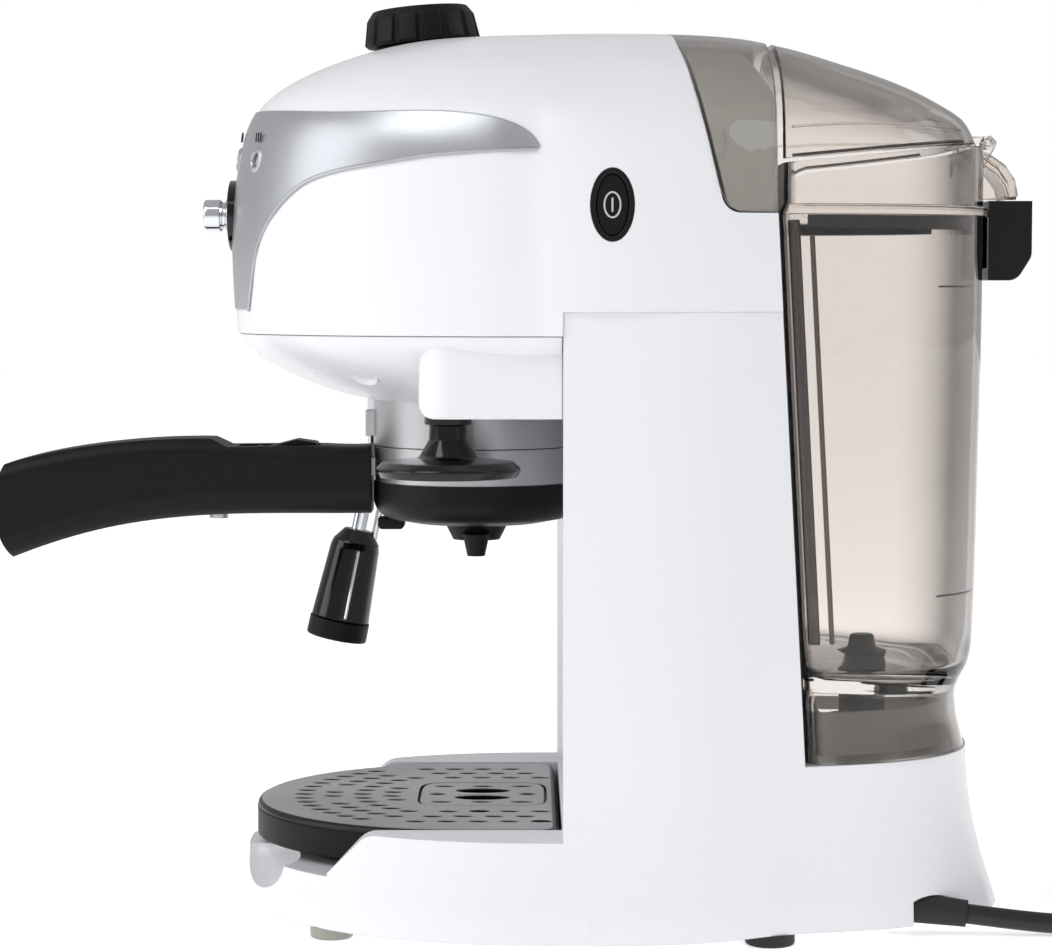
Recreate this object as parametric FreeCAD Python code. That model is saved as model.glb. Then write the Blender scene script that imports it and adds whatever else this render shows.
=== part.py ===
"""Pod coffee machine, built one STEP file per physical piece. Units are millimetres.

Frame: +Z is up, the front of the machine faces -Y, and X runs across the machine.
The origin is at the middle of the footprint, on the surface the feet stand on.
"""
import FreeCAD
import Part
import math
import os

os.makedirs("parts", exist_ok=True)
V = FreeCAD.Vector
X_AXIS = V(1, 0, 0)
Y_AXIS = V(0, 1, 0)
Z_AXIS = V(0, 0, 1)

# ---- overall sizes -------------------------------------------------------------------------
BASE_HALF_WIDTH = 92.5
BASE_FRONT_Y = -91.5
BASE_REAR_Y = 168.0
BODY_HALF_WIDTH = 88.0
HEAD_FRONT_Y = -93.5
CROWN_Z = 294.0
WALL = 2.6
GAP = 0.3
RUNNING_FIT = 0.05
OUTLINE_CENTRE_Y = 10.0

# ---- heights and lines that the housings share ----------------------------------------------
BASE_BOTTOM_Z = 4.0
FLOOR_PLATE_THICKNESS = 2.0
TRAY_DECK_Z = 21.0
RIM_Z = 36.0
RIM_FRONT_Y = -46.0
SHOULDER_RUN = 14.0
CHEEK_Y = 16.5
TANK_DECK_Z = 57.0
TANK_FRONT_LOW_Y = 94.0
TANK_FRONT_HIGH_Y = 84.0
TANK_FRONT_HIGH_Z = 233.0
HOUSING_SEAM_Z = 202.0
HEAD_BOTTOM_Z = 194.5
RECESS_RADIUS = 178.0
RECESS_DEPTH = 19.5

# ---- clear cover and tank lid lines -----------------------------------------------------------
COVER_TOP_Y = 51.9
COVER_LOW_Y = 67.0
COVER_LOW_Z = 233.0
COVER_REAR_Y = 83.7
LID_FRONT_Y = 86.0
LID_LOW_FRONT_Z = 250.2
LID_LOW_REAR_Z = 257.0
CLEAR_WALL = 2.2

# ---- tray -------------------------------------------------------------------------------------
TRAY_HALF_WIDTH = 66.0
TRAY_CENTRE_Y = -15.0
TRAY_FRONT_Y = -87.0
TRAY_REAR_Y = 15.0
TRAY_CLEARANCE = 0.5
TRAY_WALL = 2.0
GRILL_THICKNESS = 2.6
CUP_STAND_HALF = 21.5
CUP_STAND_CENTRE_Y = -10.0

# ---- group head, filter holder and handle -------------------------------------------------------
GROUP_Y = -12.0
FLANGE_RADIUS = 35.0
FLANGE_BOTTOM_Z = 156.4
FLANGE_TOP_Z = 172.0
HOLDER_RING_TOP_Z = 156.1
HOLDER_RING_BOTTOM_Z = 144.0
HOLDER_RING_RADIUS = 34.5
HOLDER_NECK_RADIUS = 28.9
HOLDER_LUG_RADIUS = 30.7
BOWL_BOTTOM_Z = 130.0
BASKET_RADIUS = 25.6
BASKET_BOTTOM_Z = 137.0
HANDLE_TIP_Y = -174.0
UNLOCK_ANGLE = 40.0

# ---- tamper, steam wand, knobs --------------------------------------------------------------------
TAMPER_X = 62.0
TAMPER_Y = -20.0
TAMPER_DISC_RADIUS = 23.5
TAMPER_DISC_Z = 149.2
WAND_X = -66.0
WAND_Y = -50.0
WAND_TILT = 12.0
TUBE_RADIUS = 2.75
STEAM_KNOB_Y = -29.9
STEAM_KNOB_Z = 290.9
STEAM_KNOB_RADIUS = 19.5
STEAM_KNOB_HEIGHT = 12.5
STEAM_KNOB_TILT = 5.0
SELECTOR_Z = 233.8
SELECTOR_KNOB_RADIUS = 5.5
BUTTON_Y = 31.6
BUTTON_Z = 235.2

# ---- power cord --------------------------------------------------------------------------------------
CORD_RADIUS = 3.25
CORD_Z = 6.5
COIL_MEAN_RADIUS = 39.0

# Smaller sizes, in the order of the pieces that use them.
BASE_FLARE_Z = 58.0
BASE_LEVEL_COUNT = 9
NOTCH_X = 58.0
FAR = 200.0
SOCKET_Y = 120.0
SOCKET_RADIUS = 11.0
FOOT_STEM_RADIUS = 3.0
FOOT_PLACES = [(-60, -58), (60, -58), (-70, 83), (70, 83)]
FASCIA_SKIN = 1.4
FASCIA_PROUD = 0.5
FASCIA_LOW = [
    (-85.9, 202.6), (-82.6, 221.5), (-79.5, 228.9), (-71.8, 238.7), (-63.8, 244.1),
    (-54.1, 246.4), (-38.2, 249.2), (-21.5, 251.4), (-4.7, 252.2), (9.3, 253.0),
]
FASCIA_HIGH = [(9.3, 253.0), (6.2, 257.4), (-0.6, 261.1), (-9.6, 263.3), (-50.4, 265.0), (-80.0, 267.3), (-98.0, 269.6)]
LIGHT_RADIUS = 2.2
LIGHT_PLACES = [(12.0, 252.0), (38.0, 251.0)]
SELECTOR_PLATE_HALF_WIDTH = 17.0
SELECTOR_PLATE_HALF_HEIGHT = 12.0
SELECTOR_FRONT_Y = HEAD_FRONT_Y - 1.4
SELECTOR_SPINDLE_RADIUS = 2.5
STEAM_COLLAR_RADIUS = 16.0
STEAM_SPINDLE_RADIUS = 3.0
FLUTES = 14
BEZEL_HALF_HEIGHT = 11.3
BEZEL_HALF_WIDTH = 6.8
BUTTON_TRAVEL = 2.0
WAND_GROMMET_RADIUS = 6.5
LIP_TOP_Z = 159.2
LUG_ANGLES = [30.0, 150.0, 270.0]
LUG_SPAN = 26.0
HANDLE_TOP = [
    (-47.5, 156.6), (-96.0, 156.0), (-101.5, 158.8), (-120.0, 158.4), (-140.0, 156.6), (-158.0, 153.6), (-171.0, 150.2),
]
HANDLE_BOTTOM = [(-168.7, 118.6), (-155.0, 123.6), (-140.6, 127.7), (-124.0, 130.8), (-106.0, 132.6), (-76.0, 133.3), (-47.5, 133.4)]
HANDLE_PART = [(-47.5, 142.6), (-90.0, 142.4), (-125.0, 140.0), (-150.0, 136.2), (-185.0, 128.5)]
HANDLE_HALF_WIDTH = 15.0
HANDLE_SECTIONS = [
    (-40.0, 13.5, 132.6, 157.2),
    (-75.0, 12.5, 132.6, 157.4),
    (-105.0, 12.8, 131.6, 159.4),
    (-135.0, 13.6, 127.6, 158.0),
    (-158.0, 14.4, 121.5, 154.2),
    (-176.0, 14.0, 115.2, 149.6),
]
LOCK_HALF_WIDTH = 6.0
LOCK_END_Y = -66.0
LOCK_PIVOT = (-86.0, 153.6)
BEND_Z = 150.0
TRAY_FLOOR_Z = TRAY_DECK_Z + 0.4
LIP_LOW_Z = 24.4
HOLE_LONG = 3.3
HOLE_SHORT = 1.9
TANK_FLOOR_Z = 81.0
TANK_FLOOR_SLOPE = 0.075
SPIGOT_RADIUS = 8.0
VALVE_CAP_RADIUS = 8.5
VALVE_BORE = 5.0
LEDGE_Z = 238.5
LEDGE_REAR_Y = 169.5
LEDGE_HALF_WIDTH = 14.0
LID_HINGE_Y = 158.0
LID_HINGE_Z = 257.5
HINGE_RADIUS = 2.2
HINGE_EAR_X = 22.0
HINGE_PIN_RADIUS = 1.2
SCREW_RADIUS = 1.5
SCREW_PLACES = [(-30, -60), (30, -60), (-66, 30), (66, 30), (-45, 135), (30, 146)]
CORD_ROUTE = [
    (57.0, 148.0, 6.8), (59.0, 163.0, 5.2), (58.6, 179.0, 3.6), (55.0, 197.0, 3.3),
    (50.5, 215.0, 3.3), (49.3, 232.0, 3.3),
]
COIL_CENTRE = (7.0, 238.0)
COIL_BAND = 13.0
CORD_TOTAL_LENGTH = 1080.0
PUMP_Y = 62.0
PUMP_Z = 110.0
PUMP_RADIUS = 17.0
PUMP_INLET_X = -48.0
PUMP_OUTLET_X = 40.0
PLUG_HEIGHT = 17.0
PLUG_WIDTH = 26.0
PLUG_LENGTH = 28.0
RELIEF_LENGTH = 21.5


# ==== helpers =========================================================================================
def export(name, shape):
    """Write one piece, checking that it is a closed solid."""
    if shape.ShapeType == "Compound" and len(shape.Solids) == 1:
        shape = shape.Solids[0]
    print(name, "solids", len(shape.Solids), "valid", shape.isValid(), "volume", round(shape.Volume, 1))
    shape.exportStep("parts/" + name + ".step")


def box(x0, x1, y0, y1, z0, z1):
    """Solid box between two corners."""
    return Part.makeBox(x1 - x0, y1 - y0, z1 - z0, V(x0, y0, z0))


def rod(radius, start, end):
    """Solid cylinder between two points."""
    start = V(*start)
    axis = V(*end) - start
    return Part.makeCylinder(radius, axis.Length, start, axis)


def cone(radius_start, radius_end, start, end):
    """Solid cone frustum between two points."""
    start = V(*start)
    axis = V(*end) - start
    return Part.makeCone(radius_start, radius_end, axis.Length, start, axis)


def tube(outer, inner, start, end):
    """Hollow cylinder between two points."""
    return rod(outer, start, end).cut(rod(inner, start, end))


def join(shapes):
    """Fuse a list of solids into one."""
    result = shapes[0]
    if len(shapes) > 1:
        result = shapes[0].fuse(shapes[1:])
    return result.removeSplitter()


def rounded_wire(corners, radii):
    """Closed wire through 3D corner points, each corner rounded by its radius."""
    edges = []
    count = len(corners)
    starts = []
    ends = []
    for i in range(count):
        here = corners[i]
        before = corners[i - 1]
        after = corners[(i + 1) % count]
        if radii[i] <= 0:
            starts.append(here)
            ends.append(here)
            continue
        to_before = (before - here).normalize()
        to_after = (after - here).normalize()
        half_angle = to_before.getAngle(to_after) / 2
        reach = radii[i] / math.tan(half_angle)
        first = here + to_before * reach
        last = here + to_after * reach
        middle_direction = (to_before + to_after).normalize()
        centre = here + middle_direction * (radii[i] / math.sin(half_angle))
        middle = centre - middle_direction * radii[i]
        edges.append((i, Part.Arc(first, middle, last).toShape()))
        starts.append(first)
        ends.append(last)
    ordered = []
    arcs = dict(edges)
    for i in range(count):
        if i in arcs:
            ordered.append(arcs[i])
        following = (i + 1) % count
        if (ends[i] - starts[following]).Length > 1e-6:
            ordered.append(Part.LineSegment(ends[i], starts[following]).toShape())
    return Part.Wire(ordered)


def side_prism(points, x0, x1):
    """Extrude a (y, z) or (y, z, corner radius) outline along X."""
    corners = [V(x0, p[0], p[1]) for p in points]
    radii = [p[2] if len(p) > 2 else 0 for p in points]
    return Part.Face(rounded_wire(corners, radii)).extrude(V(x1 - x0, 0, 0))


def plan_prism(points, z0, z1):
    """Extrude an (x, y) or (x, y, corner radius) outline along Z."""
    corners = [V(p[0], p[1], z0) for p in points]
    radii = [p[2] if len(p) > 2 else 0 for p in points]
    return Part.Face(rounded_wire(corners, radii)).extrude(V(0, 0, z1 - z0))


def front_prism(points, y0, y1):
    """Extrude an (x, z) or (x, z, corner radius) outline along Y."""
    corners = [V(p[0], y0, p[1]) for p in points]
    radii = [p[2] if len(p) > 2 else 0 for p in points]
    return Part.Face(rounded_wire(corners, radii)).extrude(V(0, y1 - y0, 0))


def oval(half_length, half_width, centre, normal_span, along="y"):
    """Round-ended slot standing along Z, its long way along X or Y."""
    cx, cy, z0 = centre
    reach = half_length - half_width
    if along == "y":
        block = box(cx - half_width, cx + half_width, cy - reach, cy + reach, z0, z0 + normal_span)
        ends = [(cx, cy - reach), (cx, cy + reach)]
    else:
        block = box(cx - reach, cx + reach, cy - half_width, cy + half_width, z0, z0 + normal_span)
        ends = [(cx - reach, cy), (cx + reach, cy)]
    caps = [rod(half_width, (x, y, z0), (x, y, z0 + normal_span)) for x, y in ends]
    return join([block] + caps)


def revolve(profile, origin=(0, 0, 0), axis=Z_AXIS):
    """Turn a closed (radius, height) outline about Z, then place it at origin along axis."""
    corners = [V(p[0], 0, p[1]) for p in profile]
    radii = [p[2] if len(p) > 2 else 0 for p in profile]
    solid = Part.Face(rounded_wire(corners, radii)).revolve(V(0, 0, 0), Z_AXIS, 360)
    turn = FreeCAD.Rotation(Z_AXIS, axis)
    solid.Placement = FreeCAD.Placement(V(*origin), turn)
    return solid


def power(value, exponent):
    """Signed power, for the superellipse outlines."""
    return math.copysign(abs(value) ** exponent, value)


def outline(z, front, half, rear, centre=OUTLINE_CENTRE_Y, waist=0.14, squareness=3.4, bluntness=2.1):
    """Closed smooth plan outline: rounded nose, straight cheeks drawn in behind, squarer tail."""
    points = []
    steps = 56
    for i in range(steps):
        turn = 2 * math.pi * i / steps
        if math.sin(turn) >= 0:
            n, reach = squareness, rear - centre
        else:
            n, reach = bluntness, centre - front
        x = half * power(math.cos(turn), 2 / n)
        y = centre + reach * power(math.sin(turn), 2 / n)
        blend = min(max((y - 50.0) / 46.0, 0.0), 1.0)
        blend = blend * blend * (3 - 2 * blend)
        points.append(V(x * (1 - waist * blend), y, z))
    curve = Part.BSplineCurve()
    curve.interpolate(points, PeriodicFlag=True)
    return Part.Wire([curve.toShape()])


def loft(levels, inset=0.0, ruled=False, **shape):
    """Solid through plan outlines. A level is (z, front, half, rear[, centre[, slope]])."""
    wires = []
    for level in levels:
        z, front, half, rear = level[:4]
        centre = level[4] if len(level) > 4 else OUTLINE_CENTRE_Y
        slope = level[5] if len(level) > 5 else 0.0
        down = inset * slope
        inward = inset * math.sqrt(1 - slope * slope)
        wires.append(outline(z - down, front + inward, half - inward, rear - inward, centre, **shape))
    return Part.makeLoft(wires, True, ruled)


# ==== outer envelopes =====================================================================================


def base_levels():
    """Outlines of the base and column: flared at the foot, upright above the flare."""
    levels = []
    low = BASE_BOTTOM_Z - 8
    for i in range(BASE_LEVEL_COUNT):
        z = low + (BASE_FLARE_Z - low) * i / (BASE_LEVEL_COUNT - 1)
        share = (BASE_FLARE_Z - z) / (BASE_FLARE_Z - low)
        flare = share ** 2
        tuck = max(0.0, share - 0.8) * 6
        front = BASE_FRONT_Y + 3.0 - 3.0 * flare + tuck
        half = BODY_HALF_WIDTH + (BASE_HALF_WIDTH - BODY_HALF_WIDTH) * flare - tuck
        rear = BASE_REAR_Y - 14.5 * (1 - flare) - tuck
        levels.append((z, front, half, rear))
    levels.append((HOUSING_SEAM_Z + 4, BASE_FRONT_Y + 3.0, BODY_HALF_WIDTH, BASE_REAR_Y - 11))
    return levels


BASE_LEVELS = base_levels()
HEAD_LEVELS = [
    (HEAD_BOTTOM_Z - 14, HEAD_FRONT_Y + 3.0, BODY_HALF_WIDTH - 1, 157),
    (HEAD_BOTTOM_Z, HEAD_FRONT_Y + 1.0, BODY_HALF_WIDTH - 0.4, 157),
    (212, HEAD_FRONT_Y, BODY_HALF_WIDTH, 157),
    (235, HEAD_FRONT_Y, BODY_HALF_WIDTH, 157.5),
    (250, HEAD_FRONT_Y + 2.0, BODY_HALF_WIDTH - 0.6, 156),
    (263.5, HEAD_FRONT_Y + 5.5, BODY_HALF_WIDTH - 4.0, 151, 10, 0.3),
    (270, HEAD_FRONT_Y + 9.5, BODY_HALF_WIDTH - 8.5, 142, 10, 0.55),
    (276.5, HEAD_FRONT_Y + 17.5, BODY_HALF_WIDTH - 15.5, 129, 10, 0.75),
    (283.7, HEAD_FRONT_Y + 32.5, BODY_HALF_WIDTH - 28, 109, 10, 0.9),
    (288.5, HEAD_FRONT_Y + 47, BODY_HALF_WIDTH - 40, 94, 10, 0.97),
    (292, HEAD_FRONT_Y + 66, BODY_HALF_WIDTH - 55, 78, 18, 1.0),
    (CROWN_Z, HEAD_FRONT_Y + 98, BODY_HALF_WIDTH - 74, 56, 30, 1.0),
]
TANK_LEVELS = [
    (TANK_DECK_Z - 4, BASE_FRONT_Y, BODY_HALF_WIDTH - 3.0, 150.5),
    (TANK_DECK_Z + 4, BASE_FRONT_Y, BODY_HALF_WIDTH - 3.0, 150.5),
    (76, BASE_FRONT_Y, BODY_HALF_WIDTH - 3.0, 149.5),
    (84, BASE_FRONT_Y, BODY_HALF_WIDTH - 1.5, 151.5),
    (94, BASE_FRONT_Y, BODY_HALF_WIDTH - 0.5, 154.6),
    (150, BASE_FRONT_Y, BODY_HALF_WIDTH, 156),
    (222, BASE_FRONT_Y, BODY_HALF_WIDTH, 157),
    (250, BASE_FRONT_Y, BODY_HALF_WIDTH, 157),
    (270, BASE_FRONT_Y, BODY_HALF_WIDTH - 1, 155),
]


def tank_front_y(z, offset=0.0):
    """Where the slanted wall between the column and the tank stands at height z."""
    run = TANK_FRONT_HIGH_Z - TANK_DECK_Z
    share = (TANK_FRONT_HIGH_Z - z) / run
    return TANK_FRONT_HIGH_Y + (TANK_FRONT_LOW_Y - TANK_FRONT_HIGH_Y) * share + offset


# ==== lower housing: base and column =========================================================================
def column_recess(extra, z0, z1):
    """Shallow concave hollow in the column's front wall, behind the filter holder."""
    centre_y = CHEEK_Y + RECESS_DEPTH - RECESS_RADIUS
    disc = rod(RECESS_RADIUS + extra, (0, centre_y, z0), (0, centre_y, z1))
    return disc.common(box(-200, 200, CHEEK_Y - 1, 80, z0, z1))


def notch_tool():
    """Arched opening in the rear of the base for the cord."""
    arch = [(NOTCH_X - 6, 0, 0), (NOTCH_X + 6, 0, 0), (NOTCH_X + 6, 13, 5.9), (NOTCH_X - 6, 13, 5.9)]
    return front_prism(arch, 130, 190)


def finger_scoop(side, grow):
    """Rounded hollow under the tray's lip for pulling the tray out."""
    scoop = Part.makeSphere(1.0)
    stretch = FreeCAD.Matrix()
    stretch.scale(V(24 + grow, 16 + grow, 11 + grow))
    scoop = scoop.transformGeometry(stretch)
    scoop.translate(V(side * 34, -86, TRAY_DECK_Z + 1))
    return scoop


def make_lower_housing():
    """Base tub and column as one moulding, open below and above."""
    outer = loft(BASE_LEVELS, ruled=True, squareness=3.0)
    inner = loft(BASE_LEVELS, WALL, ruled=True, squareness=3.0)
    shoulder_y = RIM_FRONT_Y - SHOULDER_RUN
    profile = [
        (-FAR, BASE_BOTTOM_Z),
        (FAR, BASE_BOTTOM_Z),
        (FAR, TANK_DECK_Z),
        (tank_front_y(TANK_DECK_Z), TANK_DECK_Z),
        (tank_front_y(HOUSING_SEAM_Z), HOUSING_SEAM_Z),
        (CHEEK_Y, HOUSING_SEAM_Z),
        (CHEEK_Y, RIM_Z),
        (RIM_FRONT_Y, RIM_Z, 8),
        (shoulder_y, TRAY_DECK_Z, 5),
        (-FAR, TRAY_DECK_Z),
    ]
    body = outer.common(side_prism(profile, -FAR, FAR))
    hollow_profile = [
        (-FAR, BASE_BOTTOM_Z - 2),
        (FAR, BASE_BOTTOM_Z - 2),
        (FAR, TANK_DECK_Z - WALL),
        (tank_front_y(TANK_DECK_Z, -WALL), TANK_DECK_Z - WALL),
        (tank_front_y(HOUSING_SEAM_Z, -WALL), HOUSING_SEAM_Z + 1),
        (CHEEK_Y + WALL, HOUSING_SEAM_Z + 1),
        (CHEEK_Y + WALL, TRAY_DECK_Z - WALL),
        (-FAR, TRAY_DECK_Z - WALL),
    ]
    rim_inner = TRAY_HALF_WIDTH + TRAY_CLEARANCE + WALL
    rim_profile = [
        (RIM_FRONT_Y + 2, BASE_BOTTOM_Z + 5),
        (CHEEK_Y + 2 * WALL, BASE_BOTTOM_Z + 5),
        (CHEEK_Y + 2 * WALL, RIM_Z - WALL),
        (RIM_FRONT_Y + 2, RIM_Z - WALL),
    ]
    region = side_prism(hollow_profile, -FAR, FAR)
    region = region.fuse([side_prism(rim_profile, rim_inner, FAR), side_prism(rim_profile, -FAR, -rim_inner)])
    region = region.cut(column_recess(WALL, RIM_Z - WALL, HOUSING_SEAM_Z + 2))
    region = region.cut(Part.makeCompound([finger_scoop(side, WALL) for side in (-1, 1)]))
    body = body.cut(inner.common(region))
    half = TRAY_HALF_WIDTH + TRAY_CLEARANCE
    body = body.cut(box(-half, half, -FAR, CHEEK_Y, TRAY_DECK_Z, RIM_Z + 1))
    body = body.cut(column_recess(0, RIM_Z, HOUSING_SEAM_Z + 2))
    for side in (-1, 1):
        body = body.cut(finger_scoop(side, 0))
    body = body.cut(notch_tool()).cut(make_cord_gland())
    socket_hole = rod(SOCKET_RADIUS + GAP, (0, SOCKET_Y, TANK_DECK_Z - 5), (0, SOCKET_Y, TANK_DECK_Z + 2))
    return body.cut(socket_hole)


def make_base_plate():
    """Flat closing plate under the base."""
    plate = loft(BASE_LEVELS, WALL + GAP, ruled=True, squareness=3.0)
    plate = plate.common(box(-FAR, FAR, -FAR, FAR, BASE_BOTTOM_Z, BASE_BOTTOM_Z + FLOOR_PLATE_THICKNESS))
    plate = plate.cut(notch_tool())
    for x, y in FOOT_PLACES:
        plate = plate.cut(rod(FOOT_STEM_RADIUS, (x, y, 0), (x, y, 8)))
    for x, y in SCREW_PLACES:
        plate = plate.cut(rod(SCREW_RADIUS, (x, y, 0), (x, y, 8)))
    return plate.cut(make_cord_gland())


def make_feet(places, radius):
    """Round rubber feet pushed into the floor plate by their stems."""
    feet = []
    for x, y in places:
        foot = revolve([(0, 0), (radius, 0, 1.0), (radius, BASE_BOTTOM_Z), (FOOT_STEM_RADIUS, BASE_BOTTOM_Z),
                        (FOOT_STEM_RADIUS, 8), (0, 8)], (x, y, 0))
        feet.append(foot)
    return Part.makeCompound(feet)


# ==== upper housing: head, crown and back wall ===================================================================
def make_upper_housing():
    """Head shell with its rear bulkhead, open below."""
    outer = loft(HEAD_LEVELS)
    inner = loft(HEAD_LEVELS, WALL)
    slant = (COVER_LOW_Y - COVER_TOP_Y) / (CROWN_Z - COVER_LOW_Z)
    top_y = COVER_TOP_Y - slant * 20
    profile = [
        (-FAR, HEAD_BOTTOM_Z),
        (CHEEK_Y, HEAD_BOTTOM_Z),
        (CHEEK_Y, HOUSING_SEAM_Z),
        (tank_front_y(HOUSING_SEAM_Z), HOUSING_SEAM_Z),
        (TANK_FRONT_HIGH_Y, COVER_LOW_Z),
        (COVER_LOW_Y, COVER_LOW_Z, 6),
        (top_y, CROWN_Z + 20),
        (-FAR, CROWN_Z + 20),
    ]
    body = outer.common(side_prism(profile, -FAR, FAR))
    hollow_profile = [
        (-FAR, HEAD_BOTTOM_Z - 1),
        (tank_front_y(HOUSING_SEAM_Z, -WALL), HEAD_BOTTOM_Z - 1),
        (tank_front_y(HOUSING_SEAM_Z, -WALL), HOUSING_SEAM_Z),
        (TANK_FRONT_HIGH_Y - WALL, COVER_LOW_Z - WALL),
        (COVER_LOW_Y - WALL, COVER_LOW_Z - WALL, 4),
        (top_y - WALL, CROWN_Z + 20),
        (-FAR, CROWN_Z + 20),
    ]
    body = body.cut(inner.common(side_prism(hollow_profile, -FAR, FAR)))
    body = body.cut(fascia_region(FASCIA_SKIN + 0.2, 0.2))
    body = body.cut(selector_opening(GAP))
    body = body.cut(rod(STEAM_COLLAR_RADIUS, steam_point(-30), steam_point(2)))
    body = body.cut(button_oval(BEZEL_HALF_HEIGHT + 0.15, BODY_HALF_WIDTH - 8, FAR))
    for x, z in LIGHT_PLACES:
        body = body.cut(rod(LIGHT_RADIUS + 0.1, (x, -FAR, z), (x, -40, z)))
    return body


def fascia_region(depth, grow):
    """Skin of the head between two depths, bounded by the swept fascia edge."""
    low = Part.BSplineCurve()
    low.interpolate([V(0, y, z) for y, z in FASCIA_LOW])
    high = Part.BSplineCurve()
    high.interpolate([V(0, y, z) for y, z in FASCIA_HIGH])
    last = V(0, *FASCIA_HIGH[-1])
    corner = V(0, -FAR, FASCIA_HIGH[-1][1])
    foot = V(0, -FAR, FASCIA_LOW[0][1])
    first = V(0, *FASCIA_LOW[0])
    edges = [low.toShape(), high.toShape()]
    edges.append(Part.LineSegment(last, corner).toShape())
    edges.append(Part.LineSegment(corner, foot).toShape())
    edges.append(Part.LineSegment(foot, first).toShape())
    wire = Part.Wire(Part.__sortEdges__(edges))
    region = Part.Face(wire).extrude(V(2 * FAR, 0, 0))
    region.translate(V(-FAR, 0, 0))
    skin = loft(HEAD_LEVELS, -FASCIA_PROUD - grow).cut(loft(HEAD_LEVELS, depth))
    return skin.common(region)


def selector_opening(grow):
    """Oval prism where the selector plate passes through the fascia."""
    half_w = SELECTOR_PLATE_HALF_WIDTH + grow
    half_h = SELECTOR_PLATE_HALF_HEIGHT + grow
    ring = Part.Ellipse(V(0, -FAR, SELECTOR_Z), half_w, half_h)
    ring.Axis = Y_AXIS
    wire = Part.Wire([ring.toShape()])
    return Part.Face(wire).extrude(V(0, FAR - 78, 0))


def make_fascia():
    """Satin front panel wrapped round the head."""
    panel = fascia_region(FASCIA_SKIN, 0)
    panel = panel.cut(selector_opening(0.1))
    for x, z in LIGHT_PLACES:
        panel = panel.cut(rod(LIGHT_RADIUS + 0.1, (x, -FAR, z), (x, -40, z)))
    return panel


def make_selector_plate():
    """Black lens-shaped plate the selector knob turns in."""
    plate = selector_opening(0).common(box(-40, 40, SELECTOR_FRONT_Y, SELECTOR_FRONT_Y + 6, 200, 260))
    return plate.cut(rod(SELECTOR_SPINDLE_RADIUS + RUNNING_FIT, (0, -FAR, SELECTOR_Z), (0, 0, SELECTOR_Z)))


def make_selector_knob():
    """Chrome stub knob with a flared foot, a pointer flat and its spindle."""
    y0 = SELECTOR_FRONT_Y - GAP
    stub = revolve([
        (0, 0), (SELECTOR_KNOB_RADIUS + 1.2, 0), (SELECTOR_KNOB_RADIUS + 1.0, 0.9, 0.3), (4.6, 1.8),
        (4.6, 2.6), (SELECTOR_KNOB_RADIUS, 3.4, 0.3), (SELECTOR_KNOB_RADIUS, 9.0, 1.0), (0, 9.0),
    ], (0, y0, SELECTOR_Z), V(0, -1, 0))
    groove = box(-0.5, 0.5, y0 - 20, y0 - 4, SELECTOR_Z + 4.7, SELECTOR_Z + 8)
    spindle = rod(SELECTOR_SPINDLE_RADIUS, (0, y0 + 14, SELECTOR_Z), (0, y0 - 1, SELECTOR_Z))
    return join([stub.cut(groove), spindle])


def make_selector_switch():
    """Switch body behind the fascia with a blind bore for the spindle."""
    y0 = SELECTOR_FRONT_Y + 6.2
    block = box(-14, 14, y0, y0 + 20, SELECTOR_Z - 11, SELECTOR_Z + 11)
    for x in (-9, -3, 3, 9):
        block = block.fuse(box(x - 0.4, x + 0.4, y0 + 20, y0 + 28, SELECTOR_Z - 3, SELECTOR_Z + 3))
    bore_end = SELECTOR_FRONT_Y + 15
    return block.cut(rod(SELECTOR_SPINDLE_RADIUS + RUNNING_FIT, (0, y0 - 1, SELECTOR_Z), (0, bore_end, SELECTOR_Z)))


def make_light(place):
    """Small light guide pushed through the fascia, trimmed to its surface."""
    x, z = place
    guide = rod(LIGHT_RADIUS, (x, -FAR, z), (x, -66, z))
    return guide.common(loft(HEAD_LEVELS, 0.1))


def make_indicator_board():
    """Small circuit board behind the two lights."""
    board = box(2, 46, -65.6, -64.0, 240, 258)
    chips = [box(8, 14, -64.0, -62.5, 244, 250), box(26, 34, -64.0, -62.0, 244, 252)]
    return join([board] + chips)


def steam_point(height):
    """Point along the steam knob's tilted axis."""
    tilt = math.radians(STEAM_KNOB_TILT)
    return (0, STEAM_KNOB_Y - height * math.sin(tilt), STEAM_KNOB_Z + height * math.cos(tilt))


def steam_axis():
    """Direction of the steam knob's axis."""
    tilt = math.radians(STEAM_KNOB_TILT)
    return V(0, -math.sin(tilt), math.cos(tilt))


def make_steam_knob():
    """Black fluted cap of the steam tap."""
    lift = 0.6
    top = STEAM_KNOB_HEIGHT
    cap = revolve([
        (0, lift), (STEAM_KNOB_RADIUS - 1.0, lift), (STEAM_KNOB_RADIUS, lift + 1.0),
        (STEAM_KNOB_RADIUS - 1.4, top - 3.0, 1.5), (STEAM_KNOB_RADIUS - 3.6, top, 0.8), (0, top),
    ], steam_point(0), steam_axis())
    base = V(*steam_point(0))
    flutes = []
    for i in range(FLUTES):
        turn = 360.0 * i / FLUTES
        flute = cone(1.5, 1.1, (STEAM_KNOB_RADIUS + 0.5, 0, lift - 1), (STEAM_KNOB_RADIUS - 1.6, 0, top + 1))
        flute.rotate(V(0, 0, 0), Z_AXIS, turn)
        flute.Placement = FreeCAD.Placement(base, FreeCAD.Rotation(Z_AXIS, steam_axis())).multiply(flute.Placement)
        flutes.append(flute)
    cap = cap.cut(Part.makeCompound(flutes))
    socket = rod(STEAM_SPINDLE_RADIUS, steam_point(-1), steam_point(8))
    return cap.cut(socket)


def make_steam_spindle():
    """Metal spindle of the steam tap, pressed into the knob."""
    return rod(STEAM_SPINDLE_RADIUS, steam_point(-24), steam_point(8))


def make_steam_collar():
    """Collar ring that closes the crown round the steam spindle."""
    collar = tube(STEAM_COLLAR_RADIUS - 0.2, STEAM_SPINDLE_RADIUS + RUNNING_FIT, steam_point(-4), steam_point(0.2))
    return collar


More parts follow.
